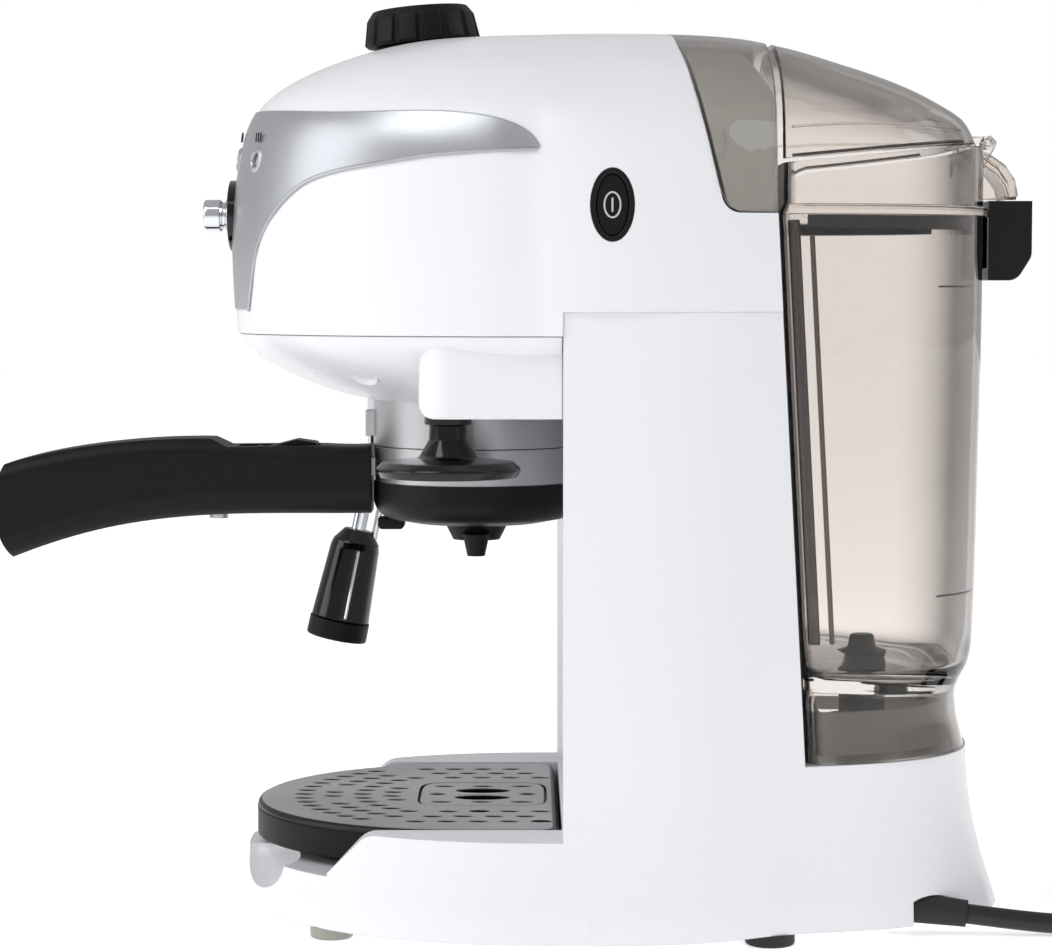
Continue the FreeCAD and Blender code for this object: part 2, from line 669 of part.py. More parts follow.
def make_steam_valve():
    """Brass body of the steam tap below the crown."""
    body = rod(9, steam_point(-34), steam_point(-5))
    body = body.fuse(rod(12, steam_point(-12), steam_point(-8)))
    body = body.cut(rod(STEAM_SPINDLE_RADIUS + RUNNING_FIT, steam_point(-24.5), steam_point(0)))
    return body.removeSplitter()


# ---- power button ---------------------------------------------------------------------------------------------------


def button_oval(half_height, x0, x1):
    """Oval prism along X at the power button, sized by its half height."""
    shrink = BEZEL_HALF_HEIGHT - half_height
    ring = Part.Ellipse(V(x0, BUTTON_Y, BUTTON_Z), half_height, BEZEL_HALF_WIDTH - shrink)
    ring.Axis = X_AXIS
    ring.XAxis = Z_AXIS
    return Part.Face(Part.Wire([ring.toShape()])).extrude(V(x1 - x0, 0, 0))


def make_bezel():
    """Oval bezel round the power button."""
    ring = button_oval(BEZEL_HALF_HEIGHT, BODY_HALF_WIDTH - 8, BODY_HALF_WIDTH + 1.2)
    return ring.cut(button_oval(BEZEL_HALF_HEIGHT - 1.6, BODY_HALF_WIDTH - 9, BODY_HALF_WIDTH + 3))


def make_power_button():
    """Push button with a shallow domed face."""
    cap = button_oval(BEZEL_HALF_HEIGHT - 1.9, BODY_HALF_WIDTH - 9, BODY_HALF_WIDTH + 0.6)
    stem = rod(2.5, (BODY_HALF_WIDTH - 16, BUTTON_Y, BUTTON_Z), (BODY_HALF_WIDTH - 8, BUTTON_Y, BUTTON_Z))
    return join([cap, stem])


def make_power_switch():
    """Switch block behind the power button."""
    x1 = BODY_HALF_WIDTH - 9 - BUTTON_TRAVEL - 0.4
    block = box(x1 - 18, x1, BUTTON_Y - 8, BUTTON_Y + 8, BUTTON_Z - 11, BUTTON_Z + 11)
    bore = rod(2.5 + RUNNING_FIT, (x1 - 9, BUTTON_Y, BUTTON_Z), (x1 + 1, BUTTON_Y, BUTTON_Z))
    return block.cut(bore)


# ==== underside of the head ===============================================================================================
def make_head_underside():
    """Bowl under the head, with the block that carries the tamper and the wand boss."""
    top = HEAD_BOTTOM_Z - 0.2
    levels = [
        (top, HEAD_FRONT_Y + 1.6, BODY_HALF_WIDTH - 1.5, 60),
        (190, HEAD_FRONT_Y + 4.6, BODY_HALF_WIDTH - 5, 56),
        (184, HEAD_FRONT_Y + 13, BODY_HALF_WIDTH - 15, 50),
        (178.5, HEAD_FRONT_Y + 24, BODY_HALF_WIDTH - 27, 44),
        (174, HEAD_FRONT_Y + 37, BODY_HALF_WIDTH - 38, 38),
        (171, HEAD_FRONT_Y + 51, BODY_HALF_WIDTH - 47, 32),
    ]
    bowl = loft(levels[::-1])
    inner_levels = [(z + WALL + 0.1, f + 1.6, h - 1.6, r - 1.6) for z, f, h, r in levels]
    hollow = loft(inner_levels[::-1])
    block_plan = [(TAMPER_X - 22, -29, 6), (TAMPER_X + 19, -29, 10), (TAMPER_X + 19, 60), (TAMPER_X - 22, 60)]
    tamper_block = plan_prism(block_plan, 168.5, top)
    tamper_block = tamper_block.common(side_prism(
        [(-29, 168.5, 5), (60, 168.5), (60, top), (-29, top, 8)], 0, 100))
    block_hollow = plan_prism(
        [(TAMPER_X - 19, -26, 4), (TAMPER_X + 16, -26, 8), (TAMPER_X + 16, 70), (TAMPER_X - 19, 70)],
        168.5 + WALL, top + 1)
    boss = rod(9, (WAND_X, WAND_Y, 176), (WAND_X, WAND_Y, top))
    cover = bowl.fuse([tamper_block, boss]).cut(hollow.cut(boss)).cut(block_hollow)
    cover = cover.cut(rod(WAND_GROMMET_RADIUS + 0.1, (WAND_X, WAND_Y, 170), (WAND_X, WAND_Y, 200)))
    trim = column_recess(-GAP, 160, 200)
    keep = box(-FAR, FAR, -FAR, CHEEK_Y - GAP, 160, 200).fuse(trim)
    cover = cover.common(keep)
    cover = cover.cut(rod(FLANGE_RADIUS + GAP, (0, GROUP_Y, 160), (0, GROUP_Y, 200)))
    ear = box(-12, 12, -50, -30, 160, FLANGE_TOP_Z + 1)
    cover = cover.cut(ear)
    cover = cover.cut(rod(3.0, (TAMPER_X, TAMPER_Y, 160), (TAMPER_X, TAMPER_Y, 180)))
    return cover


# ==== group head ===========================================================================================================
def make_flange():
    """Cast flange with an inner lip that the filter holder's lugs turn into."""
    body = tube(FLANGE_RADIUS, HOLDER_LUG_RADIUS + 0.6, (0, GROUP_Y, FLANGE_BOTTOM_Z), (0, GROUP_Y, 167.0))
    cap = rod(FLANGE_RADIUS, (0, GROUP_Y, 167.0), (0, GROUP_Y, FLANGE_TOP_Z))
    cap = cap.cut(rod(4, (0, GROUP_Y, 160), (0, GROUP_Y, 180)))
    lip = tube(HOLDER_LUG_RADIUS + 1.0, HOLDER_NECK_RADIUS + GAP,
               (0, GROUP_Y, FLANGE_BOTTOM_Z), (0, GROUP_Y, LIP_TOP_Z))
    for turn in LUG_ANGLES:
        slot = lug_sector(HOLDER_LUG_RADIUS + 0.6, turn - UNLOCK_ANGLE, LUG_SPAN + 4, FLANGE_BOTTOM_Z - 1, LIP_TOP_Z + 1)
        lip = lip.cut(slot)
    ear = box(-5, 5, GROUP_Y - FLANGE_RADIUS - 2.5, GROUP_Y - FLANGE_RADIUS + 2, 159.5, 168.0)
    ring = join([body, cap, lip])
    return join([ring, ear.cut(rod(FLANGE_RADIUS - 1, (0, GROUP_Y, 150), (0, GROUP_Y, 180)))])


def lug_sector(radius, angle, span, z0, z1):
    """Pie slice of a disc about the group's axis, centred on an angle in degrees."""
    disc = Part.makeCylinder(radius, z1 - z0, V(0, GROUP_Y, z0), Z_AXIS, span)
    disc.rotate(V(0, GROUP_Y, 0), Z_AXIS, angle - span / 2)
    return disc


def make_gasket():
    """Rubber ring that seals the basket rim."""
    return tube(HOLDER_LUG_RADIUS, 26.0, (0, GROUP_Y, 162.6), (0, GROUP_Y, 167.0))


def make_shower_screen():
    """Perforated disc under the water outlet."""
    screen = rod(25.4, (0, GROUP_Y, 163.0), (0, GROUP_Y, 164.0))
    screen = screen.fuse(tube(25.4, 24.4, (0, GROUP_Y, 163.0), (0, GROUP_Y, 166.9)))
    holes = [rod(2.1, (0, GROUP_Y, 160), (0, GROUP_Y, 170))]
    for ring, number in ((8, 8), (14, 14), (20, 20)):
        for i in range(number):
            turn = 2 * math.pi * i / number
            x = ring * math.cos(turn)
            y = GROUP_Y + ring * math.sin(turn)
            holes.append(rod(1.0, (x, y, 160), (x, y, 165)))
    return screen.cut(Part.makeCompound(holes)).removeSplitter()


def make_shower_screw():
    """Screw that holds the shower screen."""
    head = rod(4.0, (0, GROUP_Y, 160.8), (0, GROUP_Y, 163.0)).cut(box(-5, 5, GROUP_Y - 0.5, GROUP_Y + 0.5, 160, 161.8))
    return head.fuse(rod(2.0, (0, GROUP_Y, 162.0), (0, GROUP_Y, 166.9))).removeSplitter()


def make_boiler():
    """Aluminium boiler on top of the flange."""
    shell = revolve([(0, FLANGE_TOP_Z), (33, FLANGE_TOP_Z), (33, FLANGE_TOP_Z + 6), (30, FLANGE_TOP_Z + 8),
                     (30, 222, 6), (0, 222)], (0, GROUP_Y, 0))
    hollow = rod(25, (0, GROUP_Y, FLANGE_TOP_Z + 5), (0, GROUP_Y, 216))
    shell = shell.cut(hollow)
    for turn in (45, 135, 225, 315):
        x = 29.0 * math.cos(math.radians(turn))
        y = GROUP_Y + 29.0 * math.sin(math.radians(turn))
        shell = shell.fuse(rod(4.0, (x, y, FLANGE_TOP_Z + 2), (x, y, 214)))
    return shell.removeSplitter()


def make_thermostats():
    """Two thermostats clipped on the boiler's crown."""
    pair = []
    for x in (-12, 12):
        can = rod(7, (x, GROUP_Y, 222), (x, GROUP_Y, 229))
        tabs = box(x - 4, x + 4, GROUP_Y - 1, GROUP_Y + 1, 229, 236)
        pair.append(join([can, tabs]))
    return Part.makeCompound(pair)


# ==== filter holder ============================================================================================================
def make_holder_ring():
    """Metal ring of the filter holder, its neck and three bayonet lugs."""
    ring = tube(HOLDER_RING_RADIUS, BASKET_RADIUS + 0.5, (0, GROUP_Y, HOLDER_RING_BOTTOM_Z), (0, GROUP_Y, HOLDER_RING_TOP_Z))
    neck = tube(HOLDER_NECK_RADIUS, BASKET_RADIUS + 0.5, (0, GROUP_Y, HOLDER_RING_TOP_Z - 1), (0, GROUP_Y, 162.0))
    lugs = []
    for turn in LUG_ANGLES:
        lug = lug_sector(HOLDER_LUG_RADIUS, turn, LUG_SPAN, LIP_TOP_Z + 0.2, 161.8)
        lugs.append(lug.cut(rod(HOLDER_NECK_RADIUS - 1, (0, GROUP_Y, 150), (0, GROUP_Y, 170))))
    tail = box(-5, 5, GROUP_Y - 60, GROUP_Y - 30, 146, 152)
    tail = tail.cut(rod(HOLDER_RING_RADIUS - 2, (0, GROUP_Y, 140), (0, GROUP_Y, 160)))
    return join([ring, neck] + lugs + [tail])


def make_holder_bowl():
    """Black bowl below the ring, hollow, with the outlet boss."""
    bowl = revolve([(0, BOWL_BOTTOM_Z), (22, BOWL_BOTTOM_Z), (35, BOWL_BOTTOM_Z + 2.5, 7), (35, HOLDER_RING_BOTTOM_Z),
                    (0, HOLDER_RING_BOTTOM_Z)], (0, GROUP_Y, 0))
    hollow = revolve([(0, BOWL_BOTTOM_Z + 3), (24, BOWL_BOTTOM_Z + 3), (31, BOWL_BOTTOM_Z + 7, 4),
                      (31, HOLDER_RING_BOTTOM_Z + 1), (0, HOLDER_RING_BOTTOM_Z + 1)], (0, GROUP_Y, 0))
    bowl = bowl.cut(hollow)
    return bowl.cut(rod(4, (0, GROUP_Y, 120), (0, GROUP_Y, 140)))


def make_basket():
    """Steel filter basket with a rolled rim."""
    cup = revolve([(0, BASKET_BOTTOM_Z), (22.5, BASKET_BOTTOM_Z, 2), (BASKET_RADIUS, 158), (BASKET_RADIUS, 162.1), (28.6, 162.1),
                   (28.6, 162.5), (BASKET_RADIUS - 0.6, 162.5), (BASKET_RADIUS - 0.6, 158), (22.0, BASKET_BOTTOM_Z + 0.6, 1.6),
                   (0, BASKET_BOTTOM_Z + 0.6)], (0, GROUP_Y, 0))
    return cup


def make_spout():
    """Two-way spout under the bowl."""
    boss = revolve([(0, 124), (8, 124), (11, BOWL_BOTTOM_Z), (3.8, BOWL_BOTTOM_Z), (3.8, BASKET_BOTTOM_Z - 1), (0, BASKET_BOTTOM_Z - 1)],
                   (0, GROUP_Y, 0))
    parts = [boss]
    for side in (-1, 1):
        parts.append(rod(3.6, (0, GROUP_Y, 127), (side * 9, GROUP_Y, 124)))
        parts.append(cone(4.6, 3.0, (side * 9, GROUP_Y, 126.5), (side * 9, GROUP_Y, 119)))
    body = join(parts)
    body = body.cut(rod(2.4, (0, GROUP_Y, 126.5), (0, GROUP_Y, 139)))
    for side in (-1, 1):
        body = body.cut(rod(1.8, (side * 9, GROUP_Y, 118), (side * 9, GROUP_Y, 125)))
        body = body.cut(rod(1.6, (0, GROUP_Y, 127.5), (side * 9, GROUP_Y, 124.5)))
    return body


def smooth_edge(points):
    """Smooth curve through (y, z) points."""
    curve = Part.BSplineCurve()
    curve.interpolate([V(0, y, z) for y, z in points])
    return curve.toShape()


def straight_edge(first, last):
    """Line between two (y, z) points."""
    return Part.LineSegment(V(0, *first), V(0, *last)).toShape()


def handle_blank(inset=0.0):
    """Handle solid: side silhouette, plan silhouette and rounded cross-section together."""
    top = [straight_edge(HANDLE_TOP[0], HANDLE_TOP[1]), straight_edge(HANDLE_TOP[1], HANDLE_TOP[2])]
    top.append(smooth_edge(HANDLE_TOP[2:]))
    tip = Part.Arc(V(0, *HANDLE_TOP[-1]), V(0, HANDLE_TIP_Y, 132.0), V(0, *HANDLE_BOTTOM[0])).toShape()
    bottom = smooth_edge(HANDLE_BOTTOM)
    close = straight_edge(HANDLE_BOTTOM[-1], HANDLE_TOP[0])
    wire = Part.Wire(Part.__sortEdges__(top + [tip, bottom, close]))
    side = Part.Face(wire).extrude(V(2 * HANDLE_HALF_WIDTH, 0, 0))
    side.translate(V(-HANDLE_HALF_WIDTH, 0, 0))
    return side


def handle_section_tool():
    """Rounded bar that gives the handle its soft edges, thinner in the middle of its length."""
    wires = []
    for y, half, low, high in HANDLE_SECTIONS:
        corners = [V(-half, y, low), V(half, y, low), V(half, y, high), V(-half, y, high)]
        wires.append(rounded_wire(corners, [9.0, 9.0, 6.0, 6.0]))
    return Part.makeLoft(wires, True, False)


def parting_prism(above):
    """Half space above or below the handle's parting line."""
    line = smooth_edge(HANDLE_PART)
    level = 190.0 if above else 90.0
    first = HANDLE_PART[0]
    last = HANDLE_PART[-1]
    edges = [line, straight_edge(last, (last[0], level)), straight_edge((last[0], level), (first[0], level)),
             straight_edge((first[0], level), first)]
    face = Part.Face(Part.Wire(Part.__sortEdges__(edges))).extrude(V(60, 0, 0))
    face.translate(V(-30, 0, 0))
    return face


def make_handle_shells():
    """Upper and lower half shells of the handle, hollow round the ring's metal tail."""
    solid = handle_blank().common(handle_section_tool())
    core = box(-5.2, 5.2, GROUP_Y - 60.2, -40, 145.8, 152.2)
    cavity = side_prism([(-160, 128, 4), (-82, 136, 4), (-82, 152, 4), (-160, 147, 4)], -8, 8)
    solid = solid.cut(core).cut(cavity)
    slot = side_prism([(-93, 150.5), (LOCK_END_Y + 1, 150.5), (LOCK_END_Y + 1, 165), (-93, 165)],
                      -LOCK_HALF_WIDTH - 0.5, LOCK_HALF_WIDTH + 0.5)
    solid = solid.cut(slot).cut(make_lock_pin())
    screw_bore = rod(1.6, (0, -100, 125), (0, -100, 150))
    solid = solid.cut(rod(3.6, (0, -100, 125), (0, -100, 135.2))).cut(screw_bore)
    upper = solid.common(parting_prism(True))
    lower = solid.common(parting_prism(False))
    return upper, lower


def make_basket_lock():
    """Flap on the handle that holds the basket while it is emptied."""
    y, z = LOCK_PIVOT
    bar = side_prism([(y + 1.5, 152.2, 0.5), (LOCK_END_Y, 152.2, 0.5), (LOCK_END_Y, 157.2, 1),
                      (LOCK_END_Y - 7, 158.2, 2), (y + 1.5, 155.2, 0.5)], -LOCK_HALF_WIDTH, LOCK_HALF_WIDTH)
    knuckle = rod(2.2, (-LOCK_HALF_WIDTH, y, z), (LOCK_HALF_WIDTH, y, z))
    link = box(-LOCK_HALF_WIDTH, LOCK_HALF_WIDTH, y, y + 6, z - 1.2, z + 1.2)
    body = join([bar, knuckle, link])
    return body.cut(rod(1.0 + RUNNING_FIT, (-10, y, z), (10, y, z)))


def make_lock_pin():
    """Pin that the basket lock turns on, held in the handle's walls."""
    y, z = LOCK_PIVOT
    return rod(1.0, (-LOCK_HALF_WIDTH - 3, y, z), (LOCK_HALF_WIDTH + 3, y, z))


def make_handle_screw():
    """Screw that holds the two handle shells together."""
    return rod(3.2, (0, -100, 131.2), (0, -100, 135.2)).fuse(rod(1.6, (0, -100, 135), (0, -100, 150))).removeSplitter()


# ==== tamper ==================================================================================================================
def make_tamper():
    """Fixed tamper: collar, flared stem and disc."""
    z = TAMPER_DISC_Z
    return revolve([
        (0, z), (TAMPER_DISC_RADIUS - 1.5, z, 0.6), (TAMPER_DISC_RADIUS, z + 2.6, 1.2), (TAMPER_DISC_RADIUS - 2.5, z + 5.0, 1.2),
        (9.5, z + 6.2, 2), (6.2, z + 12), (6.0, 165.6), (7.6, 166.2), (7.6, 168.3), (3.0, 168.3), (3.0, 180), (0, 180),
    ], (TAMPER_X, TAMPER_Y, 0))


# ==== steam wand ================================================================================================================
def wand_point(distance):
    """Point on the frother's tilted axis, measured down from the bend."""
    tilt = math.radians(WAND_TILT)
    return (WAND_X, WAND_Y - distance * math.sin(tilt), BEND_Z - distance * math.cos(tilt))


def wand_axis():
    """Downward direction of the frother."""
    tilt = math.radians(WAND_TILT)
    return V(0, -math.sin(tilt), -math.cos(tilt))


def make_steam_tube():
    """Bright tube from the swivel down into the frother."""
    upright = rod(TUBE_RADIUS, (WAND_X, WAND_Y, BEND_Z), (WAND_X, WAND_Y, 188.0))
    knee = Part.makeSphere(TUBE_RADIUS, V(WAND_X, WAND_Y, BEND_Z))
    lower = rod(TUBE_RADIUS, wand_point(0), wand_point(66))
    bore = rod(1.4, (WAND_X, WAND_Y, BEND_Z), (WAND_X, WAND_Y, 189)).fuse(rod(1.4, wand_point(0), wand_point(67)))
    return join([upright, knee, lower]).cut(bore)


def make_frother_body():
    """Glossy tapered sleeve over the lower tube."""
    sleeve = revolve([(0, 29), (5, 29, 1), (8.4, 33.5, 1.5), (9.0, 36), (10.6, 62), (0, 62)], wand_point(0), wand_axis())
    sleeve = sleeve.cut(rod(TUBE_RADIUS, wand_point(20), wand_point(66.2)))
    return sleeve.cut(rod(7.5, wand_point(50), wand_point(63))).cut(make_air_tube())


def make_frother_ring():
    """Lower ring of the frother, open below."""
    ring = revolve([(7.2, 51), (7.2, 62.6), (10.9, 62.6), (11.0, 69.5, 0.8), (8.2, 69.5), (6.0, 62), (6.0, 51)],
                   wand_point(0), wand_axis())
    return ring


def make_air_tube():
    """Thin air-intake tube beside the steam tube."""
    start = V(*wand_point(4)) + V(0, 6.2, 0)
    end = V(*wand_point(36)) + V(0, 6.2, 0)
    return Part.makeCylinder(1.3, (end - start).Length, start, end - start)


def make_wand_grommet():
    """Swivel socket of the wand in the underside of the head."""
    return tube(WAND_GROMMET_RADIUS, TUBE_RADIUS + RUNNING_FIT, (WAND_X, WAND_Y, 174.5), (WAND_X, WAND_Y, 189.0))


# ==== drip tray ======================================================================================================================
def tray_outline(inset):
    """Plan wire data of the D-shaped tray."""
    half = TRAY_HALF_WIDTH - inset
    front = TRAY_CENTRE_Y - TRAY_FRONT_Y - inset
    rear = TRAY_REAR_Y - inset
    ellipse = Part.Ellipse(V(0, TRAY_CENTRE_Y, 0), max(half, front), min(half, front))
    if front > half:
        ellipse.XAxis = Y_AXIS
    disc = Part.Face(Part.Wire([ellipse.toShape()]))
    return half, rear, disc


def tray_prism(inset, z0, z1):
    """D-shaped prism: half ellipse in front, straight sides behind."""
    half, rear, disc = tray_outline(inset)
    nose = disc.extrude(V(0, 0, z1 - z0))
    nose.translate(V(0, 0, z0))
    nose = nose.common(box(-FAR, FAR, -FAR, TRAY_CENTRE_Y, z0, z1))
    return join([nose, box(-half, half, TRAY_CENTRE_Y, rear, z0, z1)])


def make_drip_tray():
    """Drip tray: shallow tub with a deep front lip."""
    top = RIM_Z - GRILL_THICKNESS
    tub = tray_prism(0, LIP_LOW_Z, top)
    keel = tray_prism(9, TRAY_FLOOR_Z, LIP_LOW_Z + 1)
    keel = keel.common(box(-FAR, FAR, -60, FAR, 0, FAR))
    tub = join([tub, keel])
    hollow = tray_prism(TRAY_WALL, LIP_LOW_Z + 1.6, top + 1)
    deep = tray_prism(9 + TRAY_WALL, TRAY_FLOOR_Z + 1.6, LIP_LOW_Z + 2)
    deep = deep.common(box(-FAR, FAR, -60 + TRAY_WALL, FAR, 0, FAR))
    return tub.cut(hollow).cut(deep).removeSplitter()


def stand_prism(grow, z0, z1):
    """Rounded square with slightly bowed sides for the cup stand."""
    half = CUP_STAND_HALF + grow
    y = CUP_STAND_CENTRE_Y
    bow = 1.8
    corners = [(-half, y - half), (half, y - half), (half, y + half), (-half, y + half)]
    block = plan_prism([(cx, cy, 6 + grow) for cx, cy in corners], z0, z1)
    barrel_radius = (half * half + bow * bow) / (2 * bow)
    for side in (-1, 1):
        disc = rod(barrel_radius, (side * (half + bow - barrel_radius), y, z0), (side * (half + bow - barrel_radius), y, z1))
        disc = disc.common(plan_prism([(0, y - half + 5), (side * FAR, y - half + 5), (side * FAR, y + half - 5), (0, y + half - 5)], z0, z1))
        block = block.fuse(disc)
    return block.removeSplitter()


def grill_hole_places():
    """Places of the small drain holes: bowed rows in front, straight rows along the sides."""
    places = []
    for row, (radius, number) in enumerate(((70.0, 15), (62.0, 13), (54.0, 11), (46.0, 9), (38.0, 7), (30.5, 5))):
        for i in range(number):
            share = (i + 0.5) / number - 0.5
            turn = share * math.pi * 0.86
            x = radius * 0.86 * math.sin(turn)
            y = TRAY_CENTRE_Y - 2 - radius * 0.93 * math.cos(turn)
            places.append((x, y))
    for side in (-1, 1):
        for column in (0, 1, 2):
            for i in range(4):
                places.append((side * (32.0 + 10.0 * column), -9.0 + 7.2 * i - (3.6 if column == 1 else 0)))
    return places


def make_grill():
    """Drip grill plate with drain holes and the recess for the cup stand."""
    z0 = RIM_Z - GRILL_THICKNESS + 0.05
    plate = tray_prism(0.2, z0, RIM_Z)
    plate = plate.cut(stand_prism(0.4, z0 + 1.2, RIM_Z + 1))
    plate = plate.cut(stand_prism(-2.5, z0 - 1, RIM_Z + 1))
    holes = []
    for x, y in grill_hole_places():
        if max(abs(x), abs(y - CUP_STAND_CENTRE_Y)) < CUP_STAND_HALF + 5.5:
            continue
        if abs(x) > TRAY_HALF_WIDTH - 6 or y > TRAY_REAR_Y - 4:
            continue
        holes.append(oval(HOLE_LONG, HOLE_SHORT, (x, y, z0 - 1), 6))
    plate = plate.cut(Part.makeCompound(holes))
    return plate


def make_cup_stand():
    """Removable centre of the grill with two large and eight small holes."""
    z0 = RIM_Z - GRILL_THICKNESS + 1.4
    plate = stand_prism(0, z0, RIM_Z)
    y = CUP_STAND_CENTRE_Y
    holes = [oval(9.6, 5.0, (side * 6.6, y, z0 - 1), 6) for side in (-1, 1)]
    for dy in (-13.5, 0, 13.5):
        holes += [oval(3.9, 1.9, (side * 15.2, y + dy, z0 - 1), 6) for side in (-1, 1)]
    holes += [oval(2.9, 2.3, (0, y + dy, z0 - 1), 6) for dy in (-15.4, 15.4)]
    return plate.cut(Part.makeCompound(holes))


# ==== tank, lid and cover ===========================================================================================================
def make_tank():
    """Clear water tank, open above, with a stepped foot and an outlet spigot."""
    outer = loft(TANK_LEVELS)
    z0 = TANK_DECK_Z + GAP
    top = LID_LOW_REAR_Z - 0.6
    profile = [
        (tank_front_y(z0, GAP + 0.2), z0),
        (FAR, z0),
        (FAR, top),
        (LID_HINGE_Y + 8, top),
        (LID_FRONT_Y + 0.2, LID_LOW_FRONT_Z - 0.6),
        (LID_FRONT_Y + 0.2, TANK_FRONT_HIGH_Z + 4),
        (tank_front_y(TANK_FRONT_HIGH_Z, GAP + 0.2), TANK_FRONT_HIGH_Z),
    ]
    body = outer.common(side_prism(profile, -FAR, FAR))
    inner = loft(TANK_LEVELS, CLEAR_WALL)
    water = [
        (tank_front_y(TANK_FLOOR_Z, CLEAR_WALL + 0.6), tank_floor_z(TANK_FRONT_LOW_Y), 4),
        (FAR, tank_floor_z(FAR)),
        (FAR, top + 1),
        (LID_FRONT_Y + 0.2 + CLEAR_WALL, top + 1),
        (LID_FRONT_Y + 0.2 + CLEAR_WALL, TANK_FRONT_HIGH_Z + 4),
        (tank_front_y(TANK_FRONT_HIGH_Z, CLEAR_WALL + 0.6), TANK_FRONT_HIGH_Z),
    ]
    body = body.cut(inner.common(side_prism(water, -FAR, FAR)))
    skirt = [
        (tank_front_y(z0, CLEAR_WALL + 0.6), z0 - 2),
        (FAR, z0 - 2),
        (FAR, tank_floor_z(FAR) - CLEAR_WALL),
        (tank_front_y(TANK_FLOOR_Z, CLEAR_WALL + 0.6), tank_floor_z(TANK_FRONT_LOW_Y) - CLEAR_WALL - 1.5),
    ]
    body = body.cut(inner.common(side_prism(skirt, -FAR, FAR)))
    band = loft([(231.8, BASE_FRONT_Y, BODY_HALF_WIDTH + 1.3, 158.4), (236.0, BASE_FRONT_Y, BODY_HALF_WIDTH + 1.3, 158.4)])
    band = band.common(box(-FAR, FAR, LID_FRONT_Y + 2, FAR, 231.8, 236.0)).cut(loft(TANK_LEVELS, 1.0))
    ledge = plan_prism([(-LEDGE_HALF_WIDTH, 150), (LEDGE_HALF_WIDTH, 150), (LEDGE_HALF_WIDTH, LEDGE_REAR_Y, 6),
                        (-LEDGE_HALF_WIDTH, LEDGE_REAR_Y, 6)], LEDGE_Z, LEDGE_Z + 7.5)
    ledge = ledge.cut(loft(TANK_LEVELS, 1.0))
    body = join([body, band, ledge])
    spigot = rod(SPIGOT_RADIUS, (0, SOCKET_Y, TANK_DECK_Z + 1.5), (0, SOCKET_Y, TANK_FLOOR_Z - 1))
    ears = []
    for side in (-1, 1):
        near, far = sorted((side * HINGE_EAR_X, side * (HINGE_EAR_X + 4)))
        y, z = LID_HINGE_Y, LID_HINGE_Z
        ears.append(side_prism([(y - 3.1, z - 10), (y + HINGE_RADIUS, z), (y - HINGE_RADIUS, z), (y - 3.1, top)], near, far))
        ears.append(rod(HINGE_RADIUS, (near, y, z), (far, y, z)))
        ears.append(rod(HINGE_PIN_RADIUS, (side * (HINGE_EAR_X + 1), y, z), (side * (HINGE_EAR_X - 6), y, z)))
    body = body.fuse([spigot] + ears).removeSplitter()
    return body.cut(rod(VALVE_BORE, (0, SOCKET_Y, TANK_DECK_Z), (0, SOCKET_Y, TANK_FLOOR_Z + 8)))


def tank_floor_z(y):
    """Height of the tank's sloping floor, which falls to the rear."""
    return TANK_FLOOR_Z + TANK_FLOOR_SLOPE * (SOCKET_Y - y)


def make_tank_socket():
    """Rubber socket in the deck that takes the tank's spigot."""
    seat = tube(SOCKET_RADIUS, SPIGOT_RADIUS + 0.08, (0, SOCKET_Y, TANK_DECK_Z - 8), (0, SOCKET_Y, TANK_DECK_Z + 8))
    floor = rod(SOCKET_RADIUS, (0, SOCKET_Y, TANK_DECK_Z - 10), (0, SOCKET_Y, TANK_DECK_Z - 6))
    seat = seat.fuse(floor).removeSplitter()
    return seat.cut(rod(3.0, (0, SOCKET_Y, TANK_DECK_Z - 12), (0, SOCKET_Y, TANK_DECK_Z)))


def make_tank_valve():
    """Black valve stem and strainer cap standing in the tank's outlet."""
    z = TANK_FLOOR_Z + TANK_FLOOR_SLOPE * VALVE_CAP_RADIUS + GAP
    stem = rod(3.0, (0, SOCKET_Y, TANK_DECK_Z + 4), (0, SOCKET_Y, z + 1))
    cap = revolve([(0, z), (VALVE_CAP_RADIUS, z), (VALVE_CAP_RADIUS, z + 1.6), (5, z + 3.6, 1), (4, z + 9, 1), (0, z + 9)],
                  (0, SOCKET_Y, 0))
    vanes = []
    for i in range(3):
        vane = box(-VALVE_BORE + 0.07, VALVE_BORE - 0.07, -0.6, 0.6, TANK_DECK_Z + 5, z + 0.5)
        vane.rotate(V(0, 0, 0), Z_AXIS, 60 * i)
        vane.translate(V(0, SOCKET_Y, 0))
        vanes.append(vane)
    return join([stem, cap] + vanes)


def make_tank_handle():
    """Black grip lug on the rear ledge of the tank."""
    half = LEDGE_HALF_WIDTH + 1.0
    grip = side_prism([(159.5, LEDGE_Z), (159.5, 212.0), (169.0, 212.0, 5), (LEDGE_REAR_Y + 4.5, 220.0, 5),
                       (LEDGE_REAR_Y + 4.5, LEDGE_Z)], -half, half)
    hollow = side_prism([(150, 216, 3), (165, 216, 3), (LEDGE_REAR_Y, 222, 3), (LEDGE_REAR_Y, LEDGE_Z - 3, 2),
                         (150, LEDGE_Z - 3, 2)], -half + 3, half - 3)
    return grip.cut(hollow)


